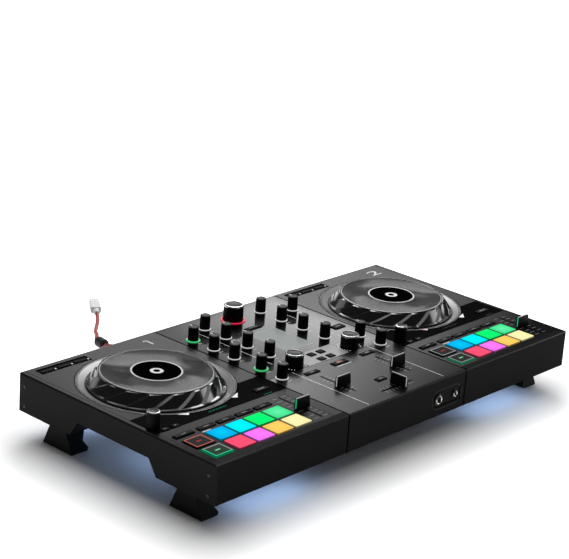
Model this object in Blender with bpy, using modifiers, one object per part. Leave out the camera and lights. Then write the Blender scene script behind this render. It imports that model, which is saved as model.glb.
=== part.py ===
"""Two-deck DJ controller on fold-out legs, with its USB lead put away behind it.

Lengths are in metres. +X runs along the front edge, +Y to the back and +Z up. The origin is under
the middle of the body, on the surface that the legs stand on.
"""

import math

import bmesh
import bpy
from mathutils import Matrix, Vector

# Clearances
FIT = 0.0003  # between pieces that touch
RUN = 0.0004  # between a key or wheel and the opening it moves in
OVERCUT = 0.002  # how far a cutter runs past a face

# Sides of the small round shapes
ROUND_SIDES = 16
PIN_SIDES = 14
SMALL_SIDES = 12
SHAFT_SIDES = 8

# Body shells and the plate under them
SKIRT_HEIGHT = 0.041
GROUND_CLEARANCE = 0.029
WALL = 0.0025
TOP_PLATE = 0.003
EDGE_ROUND = 0.0016
SEAM = 0.0006
BASE_PLATE = 0.0025
ARCH_RISE = 0.0163
ARCH_SLOPE = 0.011
ARCH_MARGIN = 0.0055

# Legs that fold into pockets of the base plate
LEG_INSET_X = 0.011
LEG_INSET_Y = 0.0477
LEG_FOOT_LENGTH = 0.044
LEG_NECK_LENGTH = 0.018
LEG_WIDTH = 0.023
LEG_WAIST = 0.018
LEG_WAIST_HEIGHT = 0.010
LEG_SHOULDER_HEIGHT = 0.019
LEG_TOE = 0.0025
LEG_PIVOT_RADIUS = 0.008
LEG_PIN_RADIUS = 0.003
POCKET_WALL = 0.002
POCKET_ROOM = 0.0008

# Pads and keys of a deck
PAD_WIDTH = 0.0230
PAD_DEPTH = 0.0216
PAD_GAP_X = 0.0027
PAD_GAP_Y = 0.0030
PAD_COLUMNS = 4
PAD_ROWS = 2
PAD_PROUD = 0.0016
PAD_CHAMFER = 0.0008
KEY_INSET = 0.0004  # how far a mode key's ends stay inside its pad's
KEY_DEPTH = 0.0063
KEY_PROUD = 0.0012
KEY_CHAMFER = 0.0005
FLANGE = 0.0008
SHEET = 0.0015
SHEET_MARGIN = 0.002
FRONT_MARGIN = 0.0114
MODE_GAP = 0.0065
TRANSPORT_KEY = (0.0240, 0.0204)
TRANSPORT_GAP = 0.0068
TEMPO_GAP = 0.0169
DECK_MARGIN_LEFT = 0.0091
DECK_MARGIN_RIGHT = 0.0175
DECK_INSET = 0.0023
JOG_MARGIN = 0.009

# Gloss strip between the pads and the jog wheel
LOOP_STEP = 0.0198
LOOP_KEY = (0.0080, 0.0056)
LOOP_KEY_STEP = 0.0135
OUT_KEY_STEP = 0.0083
LOOP_ENCODER_DX = 0.0062
LOOP_ENCODER_DY = 0.0097
SYNC_KEY = (0.0186, 0.0070)
SYNC_STEP = 0.0295
SYNC_RISE = 0.0105
JOG_GAP = 0.0240
JOG_SHIFT = -0.0012

# Jog wheels
JOG_SEGMENTS = 36
WELL_RADIUS = 0.0788
WELL_FLANGE = 0.0025
WELL_DISH = 0.0035
WELL_FLOOR = 0.002
JOG_RADIUS = 0.070
JOG_TOP_RADIUS = 0.0609
JOG_LIP = 0.0025
JOG_HEIGHT = 0.0125
JOG_BASE_BAND = 0.0028
JOG_SKIN = 0.003
JOG_LAND = 0.00065
DISC_THICK = 0.0022
DISC_BEVEL = 0.0006
GRIP_FACETS = 16
GRIP_DEPTH = 0.0022
GRIP_ROOT = 0.00075
GRIP_FACE = 0.88  # share of the pitch that a facet's face takes, the rest is its step
GRIP_LEAN = 0.80  # share of the pitch that a facet leans along the rim
SPINDLE_RADIUS = 0.006
SPINDLE_LENGTH = 0.008
BUSH_WALL = 0.004

# Key strip at the rear of a deck
STRIP_WIDTH = 0.065
STRIP_DEPTH = 0.012
STRIP_KEYS = 3
STRIP_KEY_WIDTH = 0.016
STRIP_KEY_DEPTH = 0.0055
STRIP_SUNK = 0.0012
STRIP_LEFT = 0.0028
STRIP_GAP = 0.0024
REAR_MARGIN = 0.0075

# Mixer knobs
INNER_COLUMN = 0.0435
OUTER_COLUMN = 0.0775
COLUMN_MARGIN = 0.0161
KNOB_ROW = 0.155
KNOB_PITCH = 0.032
KNOB_SEGMENTS = 12
KNOB_RADIUS = 0.0058
KNOB_HEIGHT = 0.0162
KNOB_TAPER = 0.0002
KNOB_DOME = 0.0007
KNOB_SKIRT_RADIUS = 0.0066
KNOB_SKIRT = 0.0012
POINTER_WIDTH = 0.0011
SHAFT_RADIUS = 0.0025
SHAFT_LENGTH = 0.007
BIG_SEGMENTS = 20
FILTER_ROW = 0.1198
FILTER_RADIUS = 0.0098
FILTER_HEIGHT = 0.0145
BROWSE_RADIUS = 0.0112
BROWSE_HEIGHT = 0.0190
LOOP_RADIUS = 0.0066
LOOP_HEIGHT = 0.018
CAP_RIM = 0.0016
CAP_DISH = 0.0012
OUTER_LEFT_ROWS = {
    "master_level_knob": 0.234,
    "phones_level_knob": 0.203,
    "phones_mix_knob": 0.173,
    "left_effect_knob": 0.1345,
    "left_blend_knob": 0.105,
}
OUTER_RIGHT_ROWS = {
    "booth_level_knob": 0.234,
    "right_effect_knob": 0.1345,
    "right_blend_knob": 0.105,
}
BROWSE_ROW = 0.251

# Faders
FADER_THROW = 0.040
TEMPO_THROW = 0.050
FADER_CAP_WIDTH = 0.0195
TEMPO_CAP_WIDTH = 0.018
FADER_CAP_DEPTH = 0.006
FADER_CAP_TOP = 0.0036
FADER_CAP_HEIGHT = 0.0115
STEM_WIDTH = 0.0014
STEM_LENGTH = 0.005
STEM_DROP = 0.008
SLOT_END_ROOM = 0.001
CROSS_ROW = 0.018
CHANNEL_ROW = 0.059
TEMPO_ROW = 0.0432
CROSS_REST = 0.003
CHANNEL_REST = -0.006
TEMPO_REST = -0.0023

# Mixer keys, with rows measured from the front edge
LISTEN_ROW = 0.0949
LISTEN_KEY = (0.0200, 0.0060)
MIX_ROW = 0.0954
MIX_KEY = (0.0215, 0.0070)
CLUSTER_ROW = 0.1213
CLUSTER_KEY = (0.0085, 0.0075)
CLUSTER_PITCH = 0.0142
FRONT_KEY_ROW = 0.0393
FRONT_KEY = (0.013, 0.007)
BROWSE_KEY_ROW = 0.220
BROWSE_KEY = (0.023, 0.006)
ASSIST_ROW = 0.166
ASSIST_KEY = (0.016, 0.009)

# Main board and sockets
BOARD_WIDTH = 0.170
BOARD_DEPTH = 0.250
BOARD_THICK = 0.0016
BOARD_LIFT = 0.003
STANDOFF_RADIUS = 0.004
STANDOFF_INSET = 0.0136
STANDOFF_MARGIN = 0.0151
SOCKET_HEIGHT = 0.018
PHONES_X = 0.0495
PHONES_RADIUS = 0.0065
PHONES_BORE = 0.0032
PHONES_DEPTH = 0.014
MINI_X = 0.0769
MINI_RADIUS = 0.0045
MINI_BORE = 0.0018
JACK_PLATE = (0.046, 0.016)
JACK_PLATE_SUNK = 0.001
REAR_SOCKETS = 4
REAR_SOCKET_PITCH = 0.017
REAR_SOCKET_RADIUS = 0.0042
REAR_SOCKET_BORE = 0.0018
REAR_SOCKET_X = 0.012
REAR_SOCKET_DEPTH = 0.009

# USB lead: 1.5 m in all, its far end seen on the floor behind the left deck
LEAD_DIAMETER = 0.0045
LEAD_LIFT = 0.0001
PORT_X = -0.120
PORT_HEIGHT = 0.020
LEAD_STRAIGHT = 0.0081
ROUTE_STEPS = 24
BOOT_LENGTH = 0.024
BOOT_COLLAR = 0.0072
BOOT_RADIUS = 0.0055
BOOT_TIP = 0.006
BOOT_TIP_RADIUS = 0.0034
BOOT_SPIGOT_RADIUS = 0.0045
COIL_CENTRE = (-0.055, 0.185)
COIL_INNER_RADIUS = 0.0194
COIL_PITCH = 0.0050
COIL_TURNS = 6 + 5 / 6
COIL_POINTS = 24
COIL_DROP = 0.5  # turns in which the coil goes down a layer
COIL_START_ANGLE = 90.0
BEAD_CENTRE = (-0.0505, 0.2668)
BEAD_HEADING = 80.0
BEAD_RADIUS = 0.0060
BEAD_LENGTH = 0.015
BEAD_ROUND = 0.0015
BEAD_RUN = 0.0033  # straight lead past each end of the bead
BEAD_CLEARANCE = 0.0006
PLUG_HEADING = 54.0
PLUG_BODY = (0.021, 0.0125, 0.0075)
PLUG_SHELL = (0.0125, 0.0120, 0.0045)
PLUG_SHELL_WALL = 0.0006
PLUG_SHELL_ROOT = 0.0042
LEAD_IN_ROUTE = (
    (-0.1195, 0.1845, 0.0450),
    (-0.1165, 0.1950, 0.0352),
    (-0.1110, 0.2040, 0.0235),
    (-0.1030, 0.2115, 0.0148),
    (-0.0915, 0.2172, 0.0102),
    (-0.0795, 0.2200, 0.0084),
)
TAIL_ROUTE_TO_BEAD = (
    (-0.0735, 0.2240, 0.0026),
    (-0.0665, 0.2366, 0.0042),
)
TAIL_ROUTE_TO_PLUG = (
    (-0.0350, 0.2922, 0.0050),
    (-0.0284, 0.3020, 0.0030),
    (-0.0195, 0.3112, 0.0024),
    (-0.0044, 0.3256, 0.0024),
    (0.0059, 0.3368, 0.0025),
    (0.0130, 0.3463, 0.0030),
)
TAIL_END = (0.0185, 0.3540, 0.0038)

# Levels
BASE_Z = GROUND_CLEARANCE
TOP_Z = BASE_Z + SKIRT_HEIGHT
PLATE_UNDER = TOP_Z - TOP_PLATE

# Places along a deck's width, from the middle of its controls
PAD_PITCH_X = PAD_WIDTH + PAD_GAP_X
PAD_PITCH_Y = PAD_DEPTH + PAD_GAP_Y
KEY_WIDTH = PAD_WIDTH - 2 * KEY_INSET
PAD_BLOCK = (PAD_COLUMNS - 1) * PAD_PITCH_X
TRANSPORT_STEP = PAD_WIDTH + TRANSPORT_GAP
TEMPO_STEP = PAD_WIDTH / 2 + TEMPO_GAP
CONTROL_WIDTH = PAD_WIDTH / 2 + TRANSPORT_STEP + PAD_BLOCK + TEMPO_STEP + TEMPO_CAP_WIDTH / 2
CONTROL_SPAN = DECK_MARGIN_LEFT + CONTROL_WIDTH + DECK_MARGIN_RIGHT
FLANGE_RADIUS = WELL_RADIUS + WELL_FLANGE
DECK_WIDTH = max(CONTROL_SPAN, 2 * (FLANGE_RADIUS + JOG_MARGIN))
CONTROL_LEFT = -CONTROL_SPAN / 2 + DECK_MARGIN_LEFT
TRANSPORT_X = CONTROL_LEFT + PAD_WIDTH / 2
PAD_X = TRANSPORT_X + TRANSPORT_STEP
LAST_PAD_X = PAD_X + PAD_BLOCK
TEMPO_X = LAST_PAD_X + TEMPO_STEP
JOG_X = PAD_X + PAD_BLOCK / 2 + JOG_SHIFT
SYNC_X = LAST_PAD_X + SYNC_STEP
OUT_KEY_X = TRANSPORT_X + OUT_KEY_STEP
IN_KEY_X = OUT_KEY_X - LOOP_KEY_STEP
LOOP_ENCODER_X = IN_KEY_X - LOOP_ENCODER_DX

# Places along the depth, as a chain from the front edge to the back
FRONT_ROW = FRONT_MARGIN + PAD_DEPTH / 2
CUE_ROW = FRONT_ROW + (PAD_ROWS - 1) * PAD_PITCH_Y
MODE_ROW = CUE_ROW + PAD_DEPTH / 2 + MODE_GAP + KEY_DEPTH / 2
SHEET_BACK = MODE_ROW + KEY_DEPTH / 2 + SHEET_MARGIN
LOOP_ROW = MODE_ROW + LOOP_STEP
JOG_ROW = MODE_ROW + KEY_DEPTH / 2 + JOG_GAP + FLANGE_RADIUS
STRIP_ROW = JOG_ROW + FLANGE_RADIUS + STRIP_GAP + STRIP_DEPTH / 2
BODY_DEPTH = STRIP_ROW + STRIP_DEPTH / 2 + REAR_MARGIN
FRONT_Y = -BODY_DEPTH / 2
BACK_Y = BODY_DEPTH / 2

# Places along the whole width
SEAM_X = OUTER_COLUMN + COLUMN_MARGIN
BODY_WIDTH = 2 * (SEAM_X + DECK_WIDTH)
HALF_WIDTH = BODY_WIDTH / 2
DECK_X = SEAM_X + DECK_WIDTH / 2 - DECK_INSET
SIDES = {"left": -1, "right": 1}

# Jog wheel levels
WELL_FLOOR_Z = TOP_Z - WELL_DISH
JOG_UNDER_Z = WELL_FLOOR_Z + RUN
JOG_TOP_Z = TOP_Z + JOG_HEIGHT
DISC_SEAT_Z = JOG_TOP_Z - DISC_THICK
JOG_CORE_RADIUS = JOG_TOP_RADIUS - GRIP_DEPTH - GRIP_ROOT
DISC_SEAT_RADIUS = JOG_CORE_RADIUS - JOG_LAND
DISC_RADIUS = DISC_SEAT_RADIUS - FIT

# Key levels
SHEET_TOP_Z = PLATE_UNDER - FIT
SHEET_UNDER_Z = SHEET_TOP_Z - SHEET

# Legs and pockets
LEG_OUTER_X = HALF_WIDTH - LEG_INSET_X
LEG_PIVOT_X = LEG_OUTER_X - LEG_PIVOT_RADIUS
LEG_PIVOT_Z = BASE_Z + LEG_PIVOT_RADIUS
LEG_Y = BACK_Y - LEG_INSET_Y
LEG_TOP_Z = LEG_PIVOT_Z + LEG_PIVOT_RADIUS
LEG_SWEEP = math.hypot(LEG_WIDTH - LEG_PIVOT_RADIUS, LEG_PIVOT_Z)
POCKET_HALF = LEG_FOOT_LENGTH / 2 + POCKET_ROOM
POCKET_INNER_X = LEG_PIVOT_X - LEG_SWEEP - POCKET_ROOM
POCKET_OUTER_X = LEG_OUTER_X + POCKET_ROOM
POCKET_TOP_Z = LEG_PIVOT_Z + LEG_WIDTH - LEG_PIVOT_RADIUS + POCKET_ROOM
ARCH_MOUTH = LEG_Y - POCKET_HALF - POCKET_WALL - ARCH_MARGIN
ARCH_CROWN = ARCH_MOUTH - ARCH_SLOPE
ARCH_Z = BASE_Z + ARCH_RISE
BOARD_Z = ARCH_Z + BASE_PLATE + BOARD_LIFT
SOCKET_Z = BASE_Z + SOCKET_HEIGHT

# Lead levels
LEAD_RADIUS = LEAD_DIAMETER / 2
LEAD_Z = LEAD_RADIUS + LEAD_LIFT
PORT_Z = BASE_Z + PORT_HEIGHT
BEAD_Z = BEAD_RADIUS + LEAD_LIFT
WELD = 1e-6


def clear_scene():
    for obj in list(bpy.data.objects):
        bpy.data.objects.remove(obj)


def collection(name):
    made = bpy.data.collections.new(name)
    bpy.context.scene.collection.children.link(made)
    return made


def finish(name, colour, roughness, metallic=0.0):
    """A Principled material."""
    made = bpy.data.materials.new(name)
    made.use_nodes = True
    shader = made.node_tree.nodes["Principled BSDF"]
    shader.inputs["Base Color"].default_value = (*colour, 1.0)
    shader.inputs["Roughness"].default_value = roughness
    shader.inputs["Metallic"].default_value = metallic
    made.diffuse_color = (*colour, 1.0)
    return made


# Mesh makers


def welded(mesh):
    """The mesh with its doubles merged and its faces turned outwards."""
    shape = bmesh.new()
    shape.from_mesh(mesh)
    bmesh.ops.remove_doubles(shape, verts=shape.verts, dist=WELD)
    bmesh.ops.recalc_face_normals(shape, faces=shape.faces)
    shape.to_mesh(mesh)
    shape.free()
    return mesh


def evaluated(obj):
    """The object's mesh after its modifiers; the object itself is removed."""
    bpy.context.scene.collection.objects.link(obj)
    bpy.context.view_layer.update()
    graph = bpy.context.evaluated_depsgraph_get()
    mesh = bpy.data.meshes.new_from_object(obj.evaluated_get(graph))
    bpy.data.objects.remove(obj)
    return welded(mesh)


def box(low, high):
    shape = bmesh.new()
    middle = (Vector(low) + Vector(high)) / 2
    size = Vector(high) - Vector(low)
    place = Matrix.Translation(middle) @ Matrix.Diagonal((*size, 1.0))
    bmesh.ops.create_cube(shape, size=1.0, matrix=place)
    mesh = bpy.data.meshes.new("box")
    shape.to_mesh(mesh)
    shape.free()
    return mesh


def eased_box(low, high, width, chosen):
    """A box whose edges picked by `chosen`, which is given an edge's middle and run, are rounded."""
    mesh = box(low, high)
    shape = bmesh.new()
    shape.from_mesh(mesh)
    edges = []
    for edge in shape.edges:
        first, second = (vert.co for vert in edge.verts)
        if chosen((first + second) / 2, second - first):
            edges.append(edge)
    bmesh.ops.bevel(shape, geom=edges, offset=width, segments=2, profile=0.5, affect="EDGES")
    shape.to_mesh(mesh)
    shape.free()
    return mesh


def chamfered_block(low, high, width):
    """A key or pad: a box with its upper edges chamfered."""
    mesh = box(low, high)
    shape = bmesh.new()
    shape.from_mesh(mesh)
    top = [edge for edge in shape.edges if all(abs(v.co.z - high[2]) < WELD for v in edge.verts)]
    bmesh.ops.bevel(shape, geom=top, offset=width, segments=1, profile=0.5, affect="EDGES")
    shape.to_mesh(mesh)
    shape.free()
    return mesh


AXIS_TURNS = {
    "X": Matrix(((0, 0, 1, 0), (1, 0, 0, 0), (0, 1, 0, 0), (0, 0, 0, 1))),
    "Y": Matrix(((1, 0, 0, 0), (0, 0, 1, 0), (0, 1, 0, 0), (0, 0, 0, 1))),
    "Z": Matrix.Identity(4),
}


def prism(loops, low, high, axis="Z"):
    """Flat outlines made solid from low to high along an axis. Along X an outline gives (y, z), along
    Y (x, z) and along Z (x, y). An outline inside another is a hole."""
    curve = bpy.data.curves.new("outline", "CURVE")
    curve.dimensions = "2D"
    curve.fill_mode = "BOTH"
    curve.extrude = (high - low) / 2
    for loop in loops:
        spline = curve.splines.new("POLY")
        spline.points.add(len(loop) - 1)
        spline.use_cyclic_u = True
        for point, place in zip(spline.points, loop):
            point.co = (place[0], place[1], 0.0, 1.0)
    mesh = evaluated(bpy.data.objects.new("outline", curve))
    bpy.data.curves.remove(curve)
    mesh.transform(AXIS_TURNS[axis] @ Matrix.Translation((0.0, 0.0, (low + high) / 2)))
    return welded(mesh)


def turned(profile, segments):
    """A profile of (radius, height) points, from the top down, turned round Z."""
    mesh = bpy.data.meshes.new("profile")
    points = [(radius, 0.0, height) for radius, height in profile]
    mesh.from_pydata(points, [(i, i + 1) for i in range(len(points) - 1)], [])
    obj = bpy.data.objects.new("profile", mesh)
    screw = obj.modifiers.new("turn", "SCREW")
    screw.steps = screw.render_steps = segments
    screw.use_merge_vertices = True
    screw.merge_threshold = WELD
    return evaluated(obj)


def turned_about_y(profile, segments, place):
    """A turned shape whose axis lies along Y, its top towards +Y."""
    mesh = turned(profile, segments)
    mesh.transform(Matrix.Translation(place) @ Matrix.Rotation(-math.pi / 2, 4, "X"))
    return mesh


def ring_loop(centre, radius, count):
    steps = (2 * math.pi * i / count for i in range(count))
    return [(centre[0] + radius * math.cos(a), centre[1] + radius * math.sin(a)) for a in steps]


def hole_loop(centre, radius, count):
    """A many-sided hole whose flats clear the radius."""
    return ring_loop(centre, radius / math.cos(math.pi / count), count)


def rect_loop(centre, size, grow=0.0):
    half_x = size[0] / 2 + grow
    half_y = size[1] / 2 + grow
    return [
        (centre[0] - half_x, centre[1] - half_y),
        (centre[0] + half_x, centre[1] - half_y),
        (centre[0] + half_x, centre[1] + half_y),
        (centre[0] - half_x, centre[1] + half_y),
    ]


def together(meshes):
    """Several meshes in one, still separate bodies: the second operand of a Boolean."""
    shape = bmesh.new()
    for mesh in meshes:
        shape.from_mesh(mesh)
    joined = bpy.data.meshes.new("together")
    shape.to_mesh(joined)
    shape.free()
    return joined


# Objects


def part(name, mesh, material, origin=(0.0, 0.0, 0.0)):
    """A piece in its place. The mesh is in world coordinates and is moved to the piece's own origin."""
    mesh = mesh.copy()
    mesh.transform(Matrix.Translation(-Vector(origin)))
    mesh.name = name
    mesh.materials.clear()
    mesh.materials.append(material)
    obj = bpy.data.objects.new(name, mesh)
    obj.location = origin
    PARTS.objects.link(obj)
    return obj


def combine(obj, operation, mesh, name):
    """A Boolean with a helper that stays in the file as a wire."""
    mesh = mesh.copy()
    mesh.transform(Matrix.Translation(-obj.location))
    helper = bpy.data.objects.new(f"{obj.name}_{name}", mesh)
    helper.location = obj.location
    helper.hide_render = True
    helper.display_type = "WIRE"
    CUTTERS.objects.link(helper)
    modifier = obj.modifiers.new(name, "BOOLEAN")
    modifier.operation = operation
    modifier.object = helper
    modifier.solver = "EXACT"


def cut(obj, mesh, name):
    combine(obj, "DIFFERENCE", mesh, name)


def join(obj, mesh, name):
    combine(obj, "UNION", mesh, name)


def smooth_round(obj, degrees=35.0):
    obj.data.shade_smooth()
    obj.data.set_sharp_from_angle(angle=math.radians(degrees))


# Places of the controls


def row_y(row):
    return FRONT_Y + row


def deck_place(side, local_x, row):
    return (SIDES[side] * DECK_X + local_x, row_y(row))


def pad_places(side):
    for line in range(PAD_ROWS):
        for column in range(PAD_COLUMNS):
            yield deck_place(side, PAD_X + column * PAD_PITCH_X, FRONT_ROW + line * PAD_PITCH_Y)


def mode_places(side):
    for column in range(PAD_COLUMNS):
        yield deck_place(side, PAD_X + column * PAD_PITCH_X, MODE_ROW)


def loop_key_places(side):
    for local_x in (IN_KEY_X, OUT_KEY_X):
        yield deck_place(side, local_x, LOOP_ROW)


def sync_place(side):
    return deck_place(side, SYNC_X, LOOP_ROW + SYNC_RISE)


def transport_keys(side):
    """Name, place and size of the three keys beside the pads."""
    yield f"{side}_play_key", deck_place(side, TRANSPORT_X, FRONT_ROW), TRANSPORT_KEY
    yield f"{side}_cue_key", deck_place(side, TRANSPORT_X, CUE_ROW), TRANSPORT_KEY
    yield f"{side}_shift_key", deck_place(side, TRANSPORT_X, MODE_ROW), (TRANSPORT_KEY[0], KEY_DEPTH)


def strip_place(side):
    return deck_place(side, CONTROL_LEFT + STRIP_LEFT + STRIP_WIDTH / 2, STRIP_ROW)


def cluster_places():
    half = CLUSTER_PITCH / 2
    for dx in (-half, half):
        for dy in (-half, half):
            yield (dx, row_y(CLUSTER_ROW) + dy)


def mixer_keys():
    """Place and size of the keys on the mixer's key sheet."""
    for place in cluster_places():
        yield place, CLUSTER_KEY
    yield (0.0, row_y(MIX_ROW)), MIX_KEY
    yield (0.0, row_y(FRONT_KEY_ROW)), FRONT_KEY
    for sign in SIDES.values():
        yield (sign * INNER_COLUMN, row_y(LISTEN_ROW)), LISTEN_KEY


def single_keys():
    yield "browse_key", (0.0, row_y(BROWSE_KEY_ROW)), BROWSE_KEY
    yield "assist_key", (OUTER_COLUMN, row_y(ASSIST_ROW)), ASSIST_KEY


def knob_places():
    """Name and place of each plain knob."""
    names = ("low", "mid", "high", "gain")
    for side, sign in SIDES.items():
        for step, name in enumerate(names):
            yield f"{side}_{name}_knob", (sign * INNER_COLUMN, row_y(KNOB_ROW + step * KNOB_PITCH))
    for name, row in OUTER_LEFT_ROWS.items():
        yield name, (-OUTER_COLUMN, row_y(row))
    for name, row in OUTER_RIGHT_ROWS.items():
        yield name, (OUTER_COLUMN, row_y(row))


def filter_places():
    for side, sign in SIDES.items():
        yield f"{side}_filter_knob", (sign * INNER_COLUMN, row_y(FILTER_ROW))


def loop_encoder_place(side):
    return deck_place(side, LOOP_ENCODER_X, LOOP_ROW + LOOP_ENCODER_DY)


def slot_loop(centre, throw, along_x=False):
    """The slit that a fader's stem runs in."""
    length = throw + STEM_LENGTH + 2 * SLOT_END_ROOM
    size = (length, STEM_WIDTH) if along_x else (STEM_WIDTH, length)
    return rect_loop(centre, size, grow=RUN)


# Body


def section_box(low_x, high_x, outer_signs):
    """The outside of one body section, rounded along its top and down the corners that show."""

    def chosen(middle, run):
        on_top = middle.z > TOP_Z - WELD
        along_x = abs(run.x) > WELD
        upright = abs(run.z) > WELD
        outside = any(middle.x * sign > HALF_WIDTH - WELD for sign in outer_signs)
        return (on_top and (along_x or outside)) or (upright and outside)

    return eased_box((low_x, FRONT_Y, BASE_Z), (high_x, BACK_Y, TOP_Z), EDGE_ROUND, chosen)


def hollow(obj, low_x, high_x):
    low = (low_x, FRONT_Y + WALL, BASE_Z - OVERCUT)
    cut(obj, box(low, (high_x, BACK_Y - WALL, PLATE_UNDER)), "inside")


def through_top(obj, loops, name):
    cut(obj, prism(loops, PLATE_UNDER - OVERCUT, TOP_Z + OVERCUT), name)


def arch_outline(drop):
    """The raised middle of the underside, seen from the side."""
    return [
        (-ARCH_MOUTH - drop, BASE_Z - drop),
        (ARCH_MOUTH + drop, BASE_Z - drop),
        (ARCH_MOUTH, BASE_Z),
        (ARCH_CROWN, ARCH_Z),
        (-ARCH_CROWN, ARCH_Z),
        (-ARCH_MOUTH, BASE_Z),
    ]


def deck_shell(side):
    sign = SIDES[side]
    seam = sign * (SEAM_X + SEAM / 2)
    edge = sign * HALF_WIDTH
    low_x, high_x = sorted((seam, edge))
    obj = part(f"{side}_shell", section_box(low_x, high_x, (sign,)), SATIN)
    inner_low, inner_high = sorted((seam - sign * OVERCUT, edge - sign * WALL))
    hollow(obj, inner_low, inner_high)
    jog = deck_place(side, JOG_X, JOG_ROW)
    loops = [hole_loop(jog, WELL_RADIUS + FIT, JOG_SEGMENTS)]
    loops += [rect_loop(place, (PAD_WIDTH, PAD_DEPTH), RUN) for place in pad_places(side)]
    loops += [rect_loop(place, (KEY_WIDTH, KEY_DEPTH), RUN) for place in mode_places(side)]
    loops += [rect_loop(place, size, RUN) for _, place, size in transport_keys(side)]
    loops += [rect_loop(place, LOOP_KEY, RUN) for place in loop_key_places(side)]
    loops.append(rect_loop(sync_place(side), SYNC_KEY, RUN))
    loops.append(rect_loop(strip_place(side), (STRIP_WIDTH, STRIP_DEPTH), RUN))
    loops.append(hole_loop(loop_encoder_place(side), SHAFT_RADIUS + FIT, SHAFT_SIDES))
    loops.append(slot_loop(deck_place(side, TEMPO_X, TEMPO_ROW), TEMPO_THROW))
    through_top(obj, loops, "openings")
    wall_low, wall_high = sorted((edge + sign * OVERCUT, edge - sign * (WALL + OVERCUT)))
    cut(obj, prism([arch_outline(OVERCUT)], wall_low, wall_high, "X"), "arch")
    if sign * PORT_X > 0:
        hole = turned_about_y(rod(BOOT_SPIGOT_RADIUS + FIT, WALL + 2 * OVERCUT), ROUND_SIDES,
                              (PORT_X, BACK_Y + OVERCUT, PORT_Z))
        cut(obj, hole, "port")
    return obj


def rod(radius, length):
    """Profile of a plain rod, from 0 down."""
    return [(0.0, 0.0), (radius, 0.0), (radius, -length), (0.0, -length)]


def mixer_shell():
    half = SEAM_X - SEAM / 2
    obj = part("mixer_shell", section_box(-half, half, ()), SATIN)
    hollow(obj, -half - OVERCUT, half + OVERCUT)
    holes = [place for _, place in knob_places()]
    holes += [place for _, place in filter_places()]
    holes.append((0.0, row_y(BROWSE_ROW)))
    loops = [hole_loop(place, SHAFT_RADIUS + FIT, SHAFT_SIDES) for place in holes]
    loops += [rect_loop(place, size, RUN) for place, size in mixer_keys()]
    loops += [rect_loop(place, size, RUN) for _, place, size in single_keys()]
    loops += [slot_loop((sign * INNER_COLUMN, row_y(CHANNEL_ROW)), FADER_THROW) for sign in (-1, 1)]
    loops.append(slot_loop((0.0, row_y(CROSS_ROW)), FADER_THROW, along_x=True))
    through_top(obj, loops, "openings")
    middle = ((PHONES_X + MINI_X) / 2, SOCKET_Z)
    cut(obj, prism([rect_loop(middle, JACK_PLATE)], FRONT_Y - OVERCUT, FRONT_Y + JACK_PLATE_SUNK, "Y"),
        "jack_recess")
    front = [
        hole_loop((PHONES_X, SOCKET_Z), PHONES_RADIUS + FIT, ROUND_SIDES),
        hole_loop((MINI_X, SOCKET_Z), MINI_RADIUS + FIT, SMALL_SIDES),
    ]
    cut(obj, prism(front, FRONT_Y - OVERCUT, FRONT_Y + WALL + OVERCUT, "Y"), "jacks")
    rear = [hole_loop((x, SOCKET_Z), REAR_SOCKET_RADIUS + FIT, SMALL_SIDES) for x in rear_socket_places()]
    cut(obj, prism(rear, BACK_Y - WALL - OVERCUT, BACK_Y + OVERCUT, "Y"), "rear_sockets")
    return obj


def rear_socket_places():
    return [REAR_SOCKET_X + i * REAR_SOCKET_PITCH for i in range(REAR_SOCKETS)]


def base_plate():
    half_x = HALF_WIDTH - WALL - FIT
    half_y = BACK_Y - WALL - FIT
    under = [(-half_y, BASE_Z), (-ARCH_MOUTH, BASE_Z), (-ARCH_CROWN, ARCH_Z)]
    under += [(-y, z) for y, z in reversed(under)]
    over = [(half_y, BASE_Z + BASE_PLATE)]
    over.append((ARCH_MOUTH + BASE_PLATE, BASE_Z + BASE_PLATE))
    over.append((ARCH_CROWN + BASE_PLATE, ARCH_Z + BASE_PLATE))
    over += [(-y, z) for y, z in reversed(over)]
    obj = part("base_plate", prism([under + over], -half_x, half_x, "X"), MATTE)
    pockets, rooms, pins, posts = [], [], [], []
    for sign_x in (-1, 1):
        for sign_y in (-1, 1):
            low_x, high_x = sorted((sign_x * POCKET_INNER_X, sign_x * POCKET_OUTER_X))
            low_y = sign_y * LEG_Y - POCKET_HALF
            high_y = sign_y * LEG_Y + POCKET_HALF
            wall = POCKET_WALL
            low = (low_x - wall, low_y - wall, BASE_Z)
            pockets.append(box(low, (high_x + wall, high_y + wall, POCKET_TOP_Z + wall)))
            rooms.append(box((low_x, low_y, BASE_Z - OVERCUT), (high_x, high_y, POCKET_TOP_Z)))
            pin = hole_loop((sign_x * LEG_PIVOT_X, LEG_PIVOT_Z), LEG_PIN_RADIUS + FIT, PIN_SIDES)
            pins.append(prism([pin], low_y - wall - OVERCUT, high_y + wall + OVERCUT, "Y"))
            post = (sign_x * (BOARD_WIDTH / 2 - STANDOFF_INSET), sign_y * (ARCH_CROWN - STANDOFF_MARGIN))
            outline = ring_loop(post, STANDOFF_RADIUS, SMALL_SIDES)
            posts.append(prism([outline], ARCH_Z + BASE_PLATE / 2, BOARD_Z - FIT))
    join(obj, together(pockets), "pockets")
    cut(obj, together(rooms), "pocket_rooms")
    cut(obj, together(pins), "pin_holes")
    join(obj, together(posts), "standoffs")
    return obj


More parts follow.
